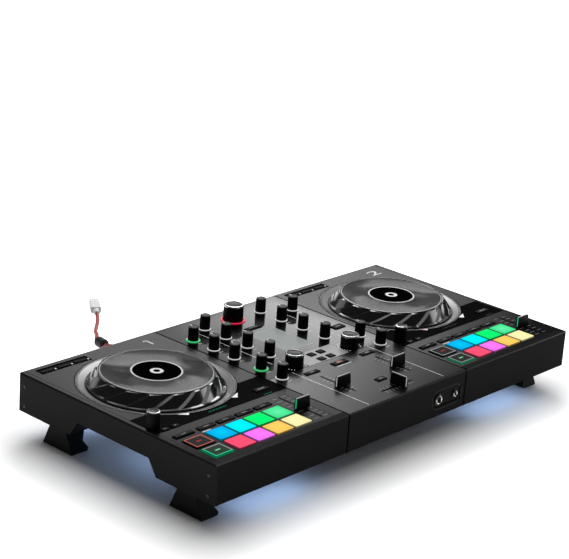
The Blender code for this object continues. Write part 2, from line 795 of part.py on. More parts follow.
def leg(side, end):
    """A leg that stands out of its pocket, on a pin along Y that is part of it."""
    sign_x = SIDES[side]
    middle_y = {"front": -1, "rear": 1}[end] * LEG_Y
    outer = LEG_OUTER_X
    arc = [math.pi * i / 8 for i in range(9)]
    radius = LEG_PIVOT_RADIUS
    side_view = [(LEG_PIVOT_X + radius * math.cos(a), LEG_PIVOT_Z + radius * math.sin(a)) for a in arc]
    side_view += [
        (outer - LEG_WIDTH, LEG_SHOULDER_HEIGHT),
        (outer - LEG_WAIST, LEG_WAIST_HEIGHT),
        (outer - LEG_WIDTH, LEG_TOE),
        (outer - LEG_WIDTH + LEG_TOE, 0.0),
        (outer, 0.0),
    ]
    side_view = [(sign_x * x, z) for x, z in side_view]
    foot = LEG_FOOT_LENGTH / 2
    neck = LEG_NECK_LENGTH / 2
    front_view = [(-foot, -OVERCUT), (foot, -OVERCUT), (foot, 0.0), (neck, BASE_Z)]
    front_view += [(neck, LEG_TOP_Z + OVERCUT), (-neck, LEG_TOP_Z + OVERCUT), (-neck, BASE_Z), (-foot, 0.0)]
    front_view = [(middle_y + y, z) for y, z in front_view]
    body = prism([side_view], middle_y - foot - OVERCUT, middle_y + foot + OVERCUT, "Y")
    origin = (sign_x * LEG_PIVOT_X, middle_y, LEG_PIVOT_Z)
    obj = part(f"{side}_{end}_leg", body, MATTE, origin)
    low_x, high_x = sorted((sign_x * (outer - 2 * LEG_WIDTH), sign_x * (outer + OVERCUT)))
    combine(obj, "INTERSECT", prism([front_view], low_x, high_x, "X"), "taper")
    reach = POCKET_HALF + POCKET_WALL
    pin = ring_loop((origin[0], origin[2]), LEG_PIN_RADIUS, PIN_SIDES)
    join(obj, prism([pin], middle_y - reach, middle_y + reach, "Y"), "pin")
    return obj


# Jog wheels


def jog_well(side):
    jog = deck_place(side, JOG_X, JOG_ROW)
    inner = JOG_RADIUS + RUN
    under = WELL_FLOOR_Z - WELL_FLOOR
    flange_top = PLATE_UNDER - FIT
    bush = SPINDLE_RADIUS + FIT
    depth = JOG_UNDER_Z - SPINDLE_LENGTH
    profile = [
        (bush, WELL_FLOOR_Z),
        (inner, WELL_FLOOR_Z),
        (WELL_RADIUS - EDGE_ROUND / 2, TOP_Z),
        (WELL_RADIUS, TOP_Z),
        (WELL_RADIUS, flange_top),
        (FLANGE_RADIUS, flange_top),
        (FLANGE_RADIUS, flange_top - WELL_FLOOR),
        (inner, under),
        (bush + BUSH_WALL, under),
        (bush + BUSH_WALL, depth),
        (bush, depth),
        (bush, WELL_FLOOR_Z),
    ]
    mesh = turned(profile, JOG_SEGMENTS)
    mesh.transform(Matrix.Translation((*jog, 0.0)))
    obj = part(f"{side}_jog_well", mesh, SATIN, (*jog, TOP_Z))
    smooth_round(obj)
    return obj


def grip_band(jog):
    """The faceted rim: two saw-toothed rings, the upper one smaller and turned, bridged and capped."""
    shape = bmesh.new()
    rings = (
        (JOG_UNDER_Z + JOG_BASE_BAND, JOG_RADIUS - EDGE_ROUND / 2, 0.0),
        (JOG_TOP_Z - JOG_LIP / 2, JOG_TOP_RADIUS, GRIP_LEAN),
    )
    pitch = 2 * math.pi / GRIP_FACETS
    edges = []
    for height, radius, lean in rings:
        ring = []
        for number in range(GRIP_FACETS):
            for share in (0.0, 0.5, 1.0):
                angle = pitch * (number + lean + share * GRIP_FACE)
                reach = radius - GRIP_DEPTH * share
                ring.append(shape.verts.new((reach * math.cos(angle), reach * math.sin(angle), height)))
        edges += [shape.edges.new(pair) for pair in zip(ring, ring[1:] + ring[:1])]
    bmesh.ops.bridge_loops(shape, edges=edges)
    bmesh.ops.holes_fill(shape, edges=shape.edges)
    bmesh.ops.recalc_face_normals(shape, faces=shape.faces)
    mesh = bpy.data.meshes.new("grip")
    shape.to_mesh(mesh)
    shape.free()
    mesh.transform(Matrix.Translation((*jog, 0.0)))
    return mesh


def jog_wheel(side):
    """A cup-shaped wheel, hollow below, with its spindle in the well's bush."""
    jog = deck_place(side, JOG_X, JOG_ROW)
    seat = DISC_SEAT_RADIUS
    core = JOG_CORE_RADIUS
    roof = DISC_SEAT_Z - JOG_SKIN
    band = JOG_UNDER_Z + JOG_BASE_BAND
    hub = SPINDLE_RADIUS + BUSH_WALL
    profile = [
        (0.0, DISC_SEAT_Z),
        (seat, DISC_SEAT_Z),
        (seat, JOG_TOP_Z),
        (core, JOG_TOP_Z),
        (core, band + EDGE_ROUND),
        (JOG_RADIUS, band + EDGE_ROUND / 2),
        (JOG_RADIUS, JOG_UNDER_Z),
        (core - JOG_SKIN, JOG_UNDER_Z),
        (core - JOG_SKIN, roof),
        (hub, roof),
        (hub, JOG_UNDER_Z),
        (SPINDLE_RADIUS, JOG_UNDER_Z),
        (SPINDLE_RADIUS, JOG_UNDER_Z - SPINDLE_LENGTH),
        (0.0, JOG_UNDER_Z - SPINDLE_LENGTH),
    ]
    mesh = turned(profile, JOG_SEGMENTS)
    mesh.transform(Matrix.Translation((*jog, 0.0)))
    obj = part(f"{side}_jog_wheel", mesh, GLOSS, (*jog, TOP_Z))
    cored = ring_loop(jog, (seat + core) / 2, JOG_SEGMENTS)
    band_mesh = grip_band(jog)
    helper = part(f"{side}_grip_blank", band_mesh, GLOSS)
    cut(helper, prism([cored], JOG_UNDER_Z, JOG_TOP_Z, "Z"), "core")
    ring = evaluated(detached(helper))
    join(obj, ring, "grip")
    return obj


def detached(obj):
    """The object taken out of its collection, ready to be evaluated and removed."""
    PARTS.objects.unlink(obj)
    return obj


def jog_disc(side):
    jog = deck_place(side, JOG_X, JOG_ROW)
    under = DISC_SEAT_Z + FIT
    profile = [
        (0.0, JOG_TOP_Z),
        (DISC_RADIUS - DISC_BEVEL, JOG_TOP_Z),
        (DISC_RADIUS, JOG_TOP_Z - DISC_BEVEL),
        (DISC_RADIUS, under),
        (0.0, under),
    ]
    mesh = turned(profile, JOG_SEGMENTS)
    mesh.transform(Matrix.Translation((*jog, 0.0)))
    obj = part(f"{side}_jog_disc", mesh, VINYL, (*jog, TOP_Z))
    smooth_round(obj)
    return obj


# Knobs and encoders


def knob_mesh():
    """A plain knob about its own axis, with the panel's face at height 0."""
    top = KNOB_RADIUS - KNOB_TAPER
    profile = [
        (0.0, KNOB_HEIGHT),
        (top - KNOB_DOME, KNOB_HEIGHT),
        (top, KNOB_HEIGHT - KNOB_DOME),
        (KNOB_RADIUS, FIT + KNOB_SKIRT),
        (KNOB_SKIRT_RADIUS, FIT + KNOB_SKIRT),
        (KNOB_SKIRT_RADIUS, FIT),
        (SHAFT_RADIUS, FIT),
        (SHAFT_RADIUS, -SHAFT_LENGTH),
        (0.0, -SHAFT_LENGTH),
    ]
    return turned(profile, KNOB_SEGMENTS)


def cap_mesh(radius, height):
    """A larger knob with a raised rim round a dished top."""
    rim = radius - CAP_RIM
    profile = [
        (0.0, height - CAP_DISH),
        (rim * 0.6, height - CAP_DISH),
        (rim, height),
        (radius - CAP_RIM / 3, height),
        (radius, height - CAP_RIM / 2),
        (radius, height - 2 * CAP_RIM),
        (radius - CAP_RIM / 4, height - 2.4 * CAP_RIM),
        (radius, FIT),
        (SHAFT_RADIUS, FIT),
        (SHAFT_RADIUS, -SHAFT_LENGTH),
        (0.0, -SHAFT_LENGTH),
    ]
    return turned(profile, BIG_SEGMENTS)


def turning(name, mesh, place, material, pointer=0.0):
    """A knob or encoder on its axis. A pointer groove of this radius is cut across the top's edge."""
    obj = bpy.data.objects.new(name, mesh)
    obj.location = (*place, TOP_Z)
    if not mesh.materials:
        mesh.materials.append(material)
    PARTS.objects.link(obj)
    smooth_round(obj)
    if pointer:
        half = POINTER_WIDTH / 2
        top = max(corner[2] for corner in obj.bound_box)
        low = Vector((-half, pointer / 2, top - POINTER_WIDTH)) + obj.location
        high = Vector((half, pointer + OVERCUT, top + OVERCUT)) + obj.location
        cut(obj, box(low, high), "pointer")
    return obj


def knobs():
    plain = knob_mesh()
    for name, place in knob_places():
        turning(name, plain, place, KNOB, pointer=KNOB_RADIUS)
    wide = cap_mesh(FILTER_RADIUS, FILTER_HEIGHT)
    for name, place in filter_places():
        turning(name, wide, place, KNOB, pointer=FILTER_RADIUS)
    turning("browse_encoder", cap_mesh(BROWSE_RADIUS, BROWSE_HEIGHT), (0.0, row_y(BROWSE_ROW)), METAL_CAP)
    loop_cap = cap_mesh(LOOP_RADIUS, LOOP_HEIGHT)
    for side in SIDES:
        turning(f"{side}_loop_encoder", loop_cap, loop_encoder_place(side), METAL_CAP)


# Faders


def fader(name, place, width, rest, along_x=False):
    """A blade-shaped cap across its slot, on a stem that reaches below the panel."""
    low = TOP_Z + FIT
    high = low + FADER_CAP_HEIGHT
    foot = FADER_CAP_DEPTH / 2
    crest = FADER_CAP_TOP / 2
    waist = low + CAP_RIM
    shape = [(-foot, low), (foot, low), (foot, waist), (crest, high), (-crest, high), (-foot, waist)]
    axis = "Y" if along_x else "X"
    centre = (place[0] + rest, place[1]) if along_x else (place[0], place[1] + rest)
    run, across = (centre[0], centre[1]) if along_x else (centre[1], centre[0])
    cap = prism([[(run + u, z) for u, z in shape]], across - width / 2, across + width / 2, axis)
    obj = part(name, cap, KNOB, (*centre, TOP_Z))
    half_x, half_y = (STEM_LENGTH / 2, STEM_WIDTH / 2) if along_x else (STEM_WIDTH / 2, STEM_LENGTH / 2)
    stem = box((centre[0] - half_x, centre[1] - half_y, TOP_Z - STEM_DROP),
               (centre[0] + half_x, centre[1] + half_y, waist))
    join(obj, stem, "stem")
    return obj


def faders():
    for side, sign in SIDES.items():
        channel = (sign * INNER_COLUMN, row_y(CHANNEL_ROW))
        fader(f"{side}_channel_fader", channel, FADER_CAP_WIDTH, CHANNEL_REST)
        tempo = deck_place(side, TEMPO_X, TEMPO_ROW)
        fader(f"{side}_tempo_fader", tempo, TEMPO_CAP_WIDTH, TEMPO_REST)
    fader("crossfader", (0.0, row_y(CROSS_ROW)), FADER_CAP_WIDTH, CROSS_REST, along_x=True)


# Keys and key sheets


def block(place, size, proud, chamfer, under=SHEET_UNDER_Z):
    """A key's solid, from the underside of its flange or sheet up through the panel."""
    low = (place[0] - size[0] / 2, place[1] - size[1] / 2, under)
    high = (place[0] + size[0] / 2, place[1] + size[1] / 2, TOP_Z + proud)
    return chamfered_block(low, high, chamfer)


def key(name, place, size, proud, chamfer, material):
    """A single key with a flange that keeps it under the panel."""
    flange = prism([rect_loop(place, size, FLANGE)], SHEET_UNDER_Z, SHEET_TOP_Z)
    obj = part(name, flange, material, (*place, TOP_Z))
    join(obj, block(place, size, proud, chamfer, SHEET_UNDER_Z + SHEET / 2), "cap")
    return obj


def sheet_outline(side):
    """The silicone sheet under the pads, with tabs to the loop keys and to the sync key."""
    left = PAD_X - PAD_WIDTH / 2 - SHEET_MARGIN
    right = LAST_PAD_X + PAD_WIDTH / 2 + SHEET_MARGIN
    front = FRONT_ROW - PAD_DEPTH / 2 - SHEET_MARGIN
    loop_back = LOOP_ROW + LOOP_KEY[1] / 2 + SHEET_MARGIN / 2
    loop_left = IN_KEY_X - LOOP_KEY[0] / 2 - SHEET_MARGIN / 2
    loop_right = OUT_KEY_X + LOOP_KEY[0] / 2 + SHEET_MARGIN
    loop_front = LOOP_ROW - LOOP_KEY[1] / 2 - SHEET_MARGIN
    sync_left = SYNC_X - SYNC_KEY[0] / 2 - SHEET_MARGIN
    sync_right = SYNC_X + SYNC_KEY[0] / 2 + SHEET_MARGIN / 2
    sync_back = LOOP_ROW + SYNC_RISE + SYNC_KEY[1] / 2 + SHEET_MARGIN
    tab_front = SHEET_BACK + 2 * SHEET_MARGIN
    outline = [
        (left, front),
        (right, front),
        (right, tab_front),
        (sync_right, tab_front),
        (sync_right, sync_back),
        (sync_left, sync_back),
        (sync_left, loop_front + SHEET_MARGIN),
        (loop_right, loop_front + SHEET_MARGIN),
        (loop_right, loop_back),
        (loop_left, loop_back),
        (loop_left, loop_front),
        (left, loop_front),
    ]
    return [deck_place(side, x, row) for x, row in outline]


def pad_sheet(side):
    obj = part(f"{side}_pad_sheet", prism([sheet_outline(side)], SHEET_UNDER_Z, SHEET_TOP_Z), SILICONE)
    root = SHEET_UNDER_Z + SHEET / 2
    blocks = [block(p, (PAD_WIDTH, PAD_DEPTH), PAD_PROUD, PAD_CHAMFER, root) for p in pad_places(side)]
    blocks += [block(p, (KEY_WIDTH, KEY_DEPTH), KEY_PROUD, KEY_CHAMFER, root) for p in mode_places(side)]
    blocks += [block(p, LOOP_KEY, KEY_PROUD, KEY_CHAMFER, root) for p in loop_key_places(side)]
    blocks.append(block(sync_place(side), SYNC_KEY, KEY_PROUD, KEY_CHAMFER, root))
    join(obj, together(blocks), "pads")
    return obj


def strip_keys(side):
    """Three small keys on a sunk strip, moulded in one piece."""
    centre = strip_place(side)
    size = (STRIP_WIDTH, STRIP_DEPTH)
    flange = prism([rect_loop(centre, size, FLANGE)], SHEET_UNDER_Z, SHEET_TOP_Z)
    obj = part(f"{side}_strip_keys", flange, KNOB, (*centre, TOP_Z))
    root = SHEET_UNDER_Z + SHEET / 2
    join(obj, block(centre, size, -STRIP_SUNK, KEY_CHAMFER, root), "strip")
    pitch = STRIP_WIDTH / STRIP_KEYS
    key_size = (STRIP_KEY_WIDTH, STRIP_KEY_DEPTH)
    blocks = []
    for number in range(STRIP_KEYS):
        place = (centre[0] + (number - (STRIP_KEYS - 1) / 2) * pitch, centre[1])
        blocks.append(block(place, key_size, 0.0, KEY_CHAMFER, TOP_Z - 2 * STRIP_SUNK))
    join(obj, together(blocks), "keys")
    return obj


def mixer_key_sheet():
    """A cross-shaped sheet that carries the mixer's keys between the faders and the filter knobs."""
    half_bar = INNER_COLUMN + LISTEN_KEY[0] / 2 + SHEET_MARGIN
    half_stem = CLUSTER_PITCH / 2 + CLUSTER_KEY[0] / 2 + SHEET_MARGIN
    front = row_y(FRONT_KEY_ROW) - FRONT_KEY[1] / 2 - SHEET_MARGIN
    back = row_y(CLUSTER_ROW) + CLUSTER_PITCH / 2 + CLUSTER_KEY[1] / 2 + SHEET_MARGIN
    stem = box((-half_stem, front, SHEET_UNDER_Z), (half_stem, back, SHEET_TOP_Z))
    obj = part("mixer_key_sheet", stem, KNOB)
    half_row = LISTEN_KEY[1] / 2 + SHEET_MARGIN
    low = (-half_bar, row_y(LISTEN_ROW) - half_row, SHEET_UNDER_Z)
    join(obj, box(low, (half_bar, row_y(LISTEN_ROW) + half_row, SHEET_TOP_Z)), "bar")
    root = SHEET_UNDER_Z + SHEET / 2
    blocks = [block(place, size, KEY_PROUD, KEY_CHAMFER, root) for place, size in mixer_keys()]
    join(obj, together(blocks), "keys")
    return obj


def keys():
    for side in SIDES:
        pad_sheet(side)
        strip_keys(side)
        for name, place, size in transport_keys(side):
            key(name, place, size, PAD_PROUD, PAD_CHAMFER, KNOB)
    for name, place, size in single_keys():
        key(name, place, size, KEY_PROUD, KEY_CHAMFER, KNOB)
    mixer_key_sheet()


# Inside


def main_board():
    """The board on its standoffs, with the front and rear sockets on its edges."""
    half_x = BOARD_WIDTH / 2
    half_y = BOARD_DEPTH / 2
    board = box((-half_x, -half_y, BOARD_Z), (half_x, half_y, BOARD_Z + BOARD_THICK))
    obj = part("main_board", board, BOARD)
    front = FRONT_Y + JACK_PLATE_SUNK
    barrels = []
    bores = []
    for x, radius, bore in ((PHONES_X, PHONES_RADIUS, PHONES_BORE), (MINI_X, MINI_RADIUS, MINI_BORE)):
        back = -half_y + PHONES_RADIUS
        barrels.append(prism([ring_loop((x, SOCKET_Z), radius, ROUND_SIDES)], front, back, "Y"))
        post = BOARD_Z + BOARD_THICK / 2
        low = (x - radius / 2, -half_y + radius / 4, SOCKET_Z)
        barrels.append(box(low, (x + radius / 2, back - radius / 4, post)))
        mouth = ring_loop((x, SOCKET_Z), bore, SMALL_SIDES)
        bores.append(prism([mouth], front - OVERCUT, front + PHONES_DEPTH, "Y"))
    for x in rear_socket_places():
        back = half_y - REAR_SOCKET_RADIUS
        barrel = ring_loop((x, SOCKET_Z), REAR_SOCKET_RADIUS, SMALL_SIDES)
        barrels.append(prism([barrel], back, BACK_Y - FIT, "Y"))
        low = (x - REAR_SOCKET_RADIUS / 2, back + REAR_SOCKET_RADIUS / 4, SOCKET_Z)
        high = (x + REAR_SOCKET_RADIUS / 2, half_y - REAR_SOCKET_RADIUS / 4, BOARD_Z + BOARD_THICK / 2)
        barrels.append(box(low, high))
        mouth = ring_loop((x, SOCKET_Z), REAR_SOCKET_BORE, SHAFT_SIDES)
        bores.append(prism([mouth], BACK_Y - REAR_SOCKET_DEPTH, BACK_Y + OVERCUT, "Y"))
    for number, barrel in enumerate(barrels):
        join(obj, barrel, f"socket_{number}")
    cut(obj, together(bores), "bores")
    return obj


# USB lead


def heading(degrees):
    return Vector((math.cos(math.radians(degrees)), math.sin(math.radians(degrees)), 0.0))


def coil_points():
    """Piled loops: in on the upper layer, down in the half turn where the spiral reverses, out below."""
    count = round(COIL_TURNS * COIL_POINTS)
    middle = COIL_TURNS / 2
    points = []
    for number in range(count + 1):
        turn = COIL_TURNS * number / count
        from_middle = turn - middle
        radius = COIL_INNER_RADIUS + COIL_PITCH * abs(from_middle)
        angle = math.radians(COIL_START_ANGLE) - 2 * math.pi * turn
        share = min(max(from_middle + COIL_DROP / 2, 0.0) / COIL_DROP, 1.0)
        lower = share * share * (3 - 2 * share)
        height = LEAD_Z + COIL_PITCH * (1 - lower)
        x = COIL_CENTRE[0] + radius * math.cos(angle)
        y = COIL_CENTRE[1] + radius * math.sin(angle)
        points.append(Vector((x, y, height)))
    first = (points[0] - points[1]).normalized()
    last = (points[-1] - points[-2]).normalized()
    first.z = last.z = 0.0
    return [points[0] + first * LEAD_DIAMETER] + points + [points[-1] + last * LEAD_DIAMETER]


def least_gap(points):
    """The least clear gap between stretches of the coil that aren't neighbours along it."""
    skip = COIL_POINTS // 2
    least = 1.0
    for number, point in enumerate(points):
        for other in range(number + skip, len(points) - 1):
            start, end = points[other], points[other + 1]
            run = end - start
            share = min(max((point - start).dot(run) / run.length_squared, 0.0), 1.0)
            least = min(least, (start + run * share - point).length)
    return least - LEAD_DIAMETER


def smooth_route(points, spacing):
    """A Catmull-Rom curve through the points, read at even steps."""
    ends = [2 * points[0] - points[1]] + points + [2 * points[-1] - points[-2]]
    dense = []
    for i in range(1, len(ends) - 2):
        before, start, end, after = ends[i - 1:i + 3]
        for step in range(ROUTE_STEPS):
            t = step / ROUTE_STEPS
            dense.append(0.5 * (2 * start + (end - before) * t
                                + (2 * before - 5 * start + 4 * end - after) * t * t
                                + (3 * start - before - 3 * end + after) * t ** 3))
    dense.append(points[-1])
    lengths = [0.0]
    for start, end in zip(dense, dense[1:]):
        lengths.append(lengths[-1] + (end - start).length)
    count = max(round(lengths[-1] / spacing), 2)
    route = []
    index = 0
    for number in range(count + 1):
        wanted = lengths[-1] * number / count
        while index < len(dense) - 2 and lengths[index + 1] < wanted:
            index += 1
        share = (wanted - lengths[index]) / (lengths[index + 1] - lengths[index])
        route.append(dense[index].lerp(dense[index + 1], share))
    return route


def tube(name, points, sides_level, material):
    curve = bpy.data.curves.new(name, "CURVE")
    curve.dimensions = "3D"
    curve.bevel_depth = LEAD_RADIUS
    curve.bevel_resolution = sides_level
    curve.use_fill_caps = True
    spline = curve.splines.new("POLY")
    spline.points.add(len(points) - 1)
    for point, place in zip(spline.points, points):
        point.co = (*place, 1.0)
    curve.materials.append(material)
    obj = bpy.data.objects.new(name, curve)
    PARTS.objects.link(obj)
    return obj


def run_length(points):
    return sum((b - a).length for a, b in zip(points, points[1:]))


def usb_lead():
    boot_end = Vector((PORT_X, BACK_Y + FIT + BOOT_LENGTH, PORT_Z))
    profile = [
        (0.0, BOOT_LENGTH),
        (BOOT_TIP_RADIUS, BOOT_LENGTH),
        (BOOT_TIP_RADIUS, BOOT_LENGTH - BOOT_TIP),
        (BOOT_RADIUS, BOOT_COLLAR),
        (BOOT_RADIUS, 0.0),
        (BOOT_SPIGOT_RADIUS, 0.0),
        (BOOT_SPIGOT_RADIUS, -WALL),
        (0.0, -WALL),
    ]
    boot = turned_about_y(profile, ROUND_SIDES, (PORT_X, BACK_Y + FIT, PORT_Z))
    smooth_round(part("usb_boot", boot, RUBBER, (PORT_X, BACK_Y, PORT_Z)))

    coil = coil_points()
    gap = least_gap(coil)
    tube("lead_coil", coil, 1, LEAD)
    arriving = (coil[0] - coil[1]).normalized()
    start = coil[0] + arriving * FIT
    exit_point = boot_end + Vector((0.0, FIT, 0.0))
    route = [exit_point, exit_point + Vector((0.0, LEAD_STRAIGHT, 0.0))]
    route += [Vector(p) for p in LEAD_IN_ROUTE] + [start + arriving * LEAD_STRAIGHT, start]
    lead_in = smooth_route(route, 2.5 * LEAD_DIAMETER)
    tube("lead_in", lead_in, 2, LEAD)

    onward = (coil[-1] - coil[-2]).normalized()
    leaving = coil[-1] + onward * FIT
    along = heading(BEAD_HEADING)
    bead = Vector((*BEAD_CENTRE, BEAD_Z))
    half = BEAD_LENGTH / 2
    through = [bead + along * run for run in (-half - BEAD_RUN, -half, 0.0, half, half + BEAD_RUN)]
    tail_end = Vector(TAIL_END)
    route = [leaving, leaving + onward * LEAD_STRAIGHT]
    route += [Vector(p) for p in TAIL_ROUTE_TO_BEAD] + through
    route += [Vector(p) for p in TAIL_ROUTE_TO_PLUG] + [tail_end]
    tail = smooth_route(route, 2.0 * LEAD_DIAMETER)
    tube("lead_tail", tail, 2, LEAD)
    total = run_length(coil) + run_length(lead_in) + run_length(tail)
    print(f"lead {total:.3f} m, least gap in the coil {gap * 1000:.2f} mm")

    ferrite_bead(bead)
    usb_plug(tail_end)


def ferrite_bead(centre):
    half = BEAD_LENGTH / 2
    bore = LEAD_RADIUS + BEAD_CLEARANCE
    profile = [
        (bore, half),
        (BEAD_RADIUS - BEAD_ROUND, half),
        (BEAD_RADIUS, half - BEAD_ROUND),
        (BEAD_RADIUS, BEAD_ROUND - half),
        (BEAD_RADIUS - BEAD_ROUND, -half),
        (bore, -half),
        (bore, half),
    ]
    mesh = turned(profile, ROUND_SIDES)
    turn = Matrix.Rotation(math.radians(BEAD_HEADING), 4, "Z") @ Matrix.Rotation(math.pi / 2, 4, "Y")
    mesh.transform(Matrix.Translation(centre) @ turn)
    smooth_round(part("ferrite_bead", mesh, RUBBER, centre))


def usb_plug(tail_end):
    """The moulded grip and the open metal shell, lying flat on the floor."""
    length, width, height = PLUG_BODY
    shell, shell_width, shell_height = PLUG_SHELL
    wall = PLUG_SHELL_WALL
    place = Matrix.Translation((tail_end.x, tail_end.y, LEAD_LIFT)) @ Matrix.Rotation(
        math.radians(PLUG_HEADING), 4, "Z")

    def placed(mesh):
        mesh.transform(place)
        return mesh

    def not_ends(middle, run):
        return abs(run.x) > WELD

    middle = height / 2
    low = (FIT, -width / 2, 0.0)
    grip = eased_box(low, (FIT + length, width / 2, height), EDGE_ROUND, not_ends)
    obj = part("usb_plug", placed(grip), PALE, (tail_end.x, tail_end.y, LEAD_LIFT))
    far = FIT + length + shell
    low = (FIT + length - PLUG_SHELL_ROOT, -shell_width / 2, middle - shell_height / 2)
    join(obj, placed(box(low, (far, shell_width / 2, middle + shell_height / 2))), "shell")
    low = (FIT + length, wall - shell_width / 2, middle + wall - shell_height / 2)
    mouth = box(low, (far + OVERCUT, shell_width / 2 - wall, middle + shell_height / 2 - wall))
    cut(obj, placed(mouth), "mouth")


clear_scene()
PARTS = collection("dj_controller")
CUTTERS = collection("cutters")
SATIN = finish("satin black shell", (0.030, 0.030, 0.032), 0.42)
MATTE = finish("matte black base", (0.012, 0.012, 0.013), 0.60)
GLOSS = finish("gloss black rim", (0.010, 0.010, 0.011), 0.16)
VINYL = finish("grooved disc", (0.045, 0.045, 0.047), 0.30, 0.4)
KNOB = finish("black knob", (0.008, 0.008, 0.009), 0.45)
METAL_CAP = finish("metal cap", (0.30, 0.30, 0.31), 0.25, 1.0)
SILICONE = finish("lit pads", (0.05, 0.55, 0.70), 0.40)
BOARD = finish("green board", (0.01, 0.10, 0.04), 0.50)
RUBBER = finish("black rubber", (0.015, 0.015, 0.016), 0.65)
PALE = finish("pale plug grip", (0.72, 0.72, 0.71), 0.50)
LEAD = finish("red lead", (0.42, 0.02, 0.02), 0.50)

for deck in SIDES:
    deck_shell(deck)
    jog_well(deck)
    jog_wheel(deck)
    jog_disc(deck)
    for leg_end in ("front", "rear"):
        leg(deck, leg_end)
mixer_shell()
base_plate()
main_board()
knobs()
faders()
keys()
usb_lead()
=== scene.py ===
"""Finishes, trim, lead and studio for a two-deck DJ controller."""

import math

import bpy
from mathutils import Matrix, Vector


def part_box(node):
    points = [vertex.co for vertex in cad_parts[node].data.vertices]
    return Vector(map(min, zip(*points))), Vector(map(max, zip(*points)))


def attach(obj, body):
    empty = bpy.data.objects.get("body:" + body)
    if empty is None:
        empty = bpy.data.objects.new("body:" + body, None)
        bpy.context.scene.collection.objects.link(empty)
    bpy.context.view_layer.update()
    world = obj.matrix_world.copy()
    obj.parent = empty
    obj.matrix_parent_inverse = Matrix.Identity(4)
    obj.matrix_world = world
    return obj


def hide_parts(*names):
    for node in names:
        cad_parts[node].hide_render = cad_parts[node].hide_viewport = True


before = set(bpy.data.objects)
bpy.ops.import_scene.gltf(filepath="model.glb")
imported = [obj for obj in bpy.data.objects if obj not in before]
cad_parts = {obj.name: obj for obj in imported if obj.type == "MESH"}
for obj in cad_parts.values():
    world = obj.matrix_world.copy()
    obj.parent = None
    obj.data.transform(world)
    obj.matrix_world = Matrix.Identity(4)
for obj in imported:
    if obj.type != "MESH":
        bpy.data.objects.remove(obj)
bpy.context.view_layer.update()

bl_info = {
    "name": "Controller finishes",
    "version": (1, 0, 0),
    "blender": (4, 5, 0),
    "location": "3D View > Sidebar > Controller",
    "description": "Finishes, trim, lead and studio for a two-deck DJ controller",
    "category": "Object",
}

DECKS = {"left": -1, "right": 1}
ROOT = "chassis"
TINY = 1e-6


def box_of(node):
    low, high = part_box(node)
    return Vector(low), Vector(high)


def middle_of(node):
    low, high = box_of(node)
    return (low + high) / 2


def top_of(node):
    return box_of(node)[1].z


SHELL_LOW, SHELL_HIGH = box_of("left_shell")
TOP = SHELL_HIGH.z
FRONT = SHELL_LOW.y
BACK = SHELL_HIGH.y
OUTER = -SHELL_LOW.x
UNDER = SHELL_LOW.z
SEAM = box_of("mixer_shell")[1].x
SMALL_KNOBS = [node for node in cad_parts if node.endswith("_knob") and "filter" not in node]


# Settings


def length_setting(name, description, default):
    return bpy.props.FloatProperty(name=name, description=description, default=default, unit="LENGTH", precision=5)


def colour_setting(name, description, default):
    return bpy.props.FloatVectorProperty(
        name=name, description=description, default=default, subtype="COLOR", size=3, min=0.0, max=1.0)


class LeadSettings(bpy.types.PropertyGroup):
    """Sizes of the USB lead."""

    diameter: length_setting("Diameter", "Outside diameter of the lead", 0.0045)
    coil_radius: length_setting("Coil radius", "Radius of the coil's innermost turn", 0.0194)
    coil_pitch: length_setting("Coil pitch", "Step between turns and between layers", 0.0050)
    tie_width: length_setting("Tie width", "Width of the strap that holds the coil", 0.009)
    colour: colour_setting("Colour", "Jacket colour", (0.330, 0.012, 0.014))


class TrimSettings(bpy.types.PropertyGroup):
    """Sizes of the small trim."""

    knob_ring: length_setting("Knob ring", "Radius of the pale ring under a knob", 0.0068)
    lit_ring: length_setting("Lit ring", "Radius of the lit ring under a knob", 0.0078)
    browse_ring: length_setting("Browse ring", "Radius of the lit ring under the browse encoder", 0.0138)
    label_radius: length_setting("Label", "Radius of the label on a jog disc", 0.0255)
    hub_radius: length_setting("Hub ring", "Middle radius of the small ring on a jog disc", 0.0052)
    hub_width: length_setting("Hub ring width", "Width of the small ring on a jog disc", 0.0034)
    glow_width: length_setting("Glow strip", "Width of the light strips under the body", 0.008)
    numeral: length_setting("Numeral", "Height of a deck's numeral", 0.0125)


class ColourSettings(bpy.types.PropertyGroup):
    """Colours of the finishes and lights."""

    shell: colour_setting("Shell", "Satin shell", (0.0075, 0.0075, 0.0078))
    gloss: colour_setting("Gloss", "Gloss strip of a deck", (0.0035, 0.0035, 0.0038))
    knob: colour_setting("Knob", "Knobs and keys", (0.0055, 0.0055, 0.0058))
    print_white: colour_setting("Print", "Pale printed lines", (0.70, 0.70, 0.70))
    chrome: colour_setting("Chrome", "Bright part of the plug", (0.72, 0.72, 0.73))
    green: colour_setting("Green light", "Green lit edges", (0.0, 0.62, 0.26))
    red: colour_setting("Red light", "Red lit ring", (0.86, 0.02, 0.07))
    salmon: colour_setting("Salmon light", "Outline of the cue key", (0.50, 0.10, 0.07))
    glow: colour_setting("Glow", "Light under the body", (0.42, 0.62, 1.0))


def lead_settings():
    return bpy.context.scene.controller_lead


def trim():
    return bpy.context.scene.controller_trim


def colour(name):
    return (*getattr(bpy.context.scene.controller_colours, name), 1.0)


def grey(tone, blue=None):
    return (tone, tone, tone if blue is None else blue, 1.0)


def scaled(tone, share):
    return (*(c * share for c in tone[:3]), 1.0)


DARK = grey(0.0)
WHITE = grey(1.0)


# Shader expressions

MIX_FACTOR, MIX_FIRST, MIX_SECOND, MIX_RESULT = 0, 6, 7, 2  # a Mix node's sockets for colours
TONE_SCALE = 45.0
TONE_SHARE = 0.35
PALER = 1.5
WEAR_SCALE = 380.0
WEAR_SPREAD = 0.06
COAT_ROUGHNESS = 0.25
PLAIN_SPECULAR = 0.5


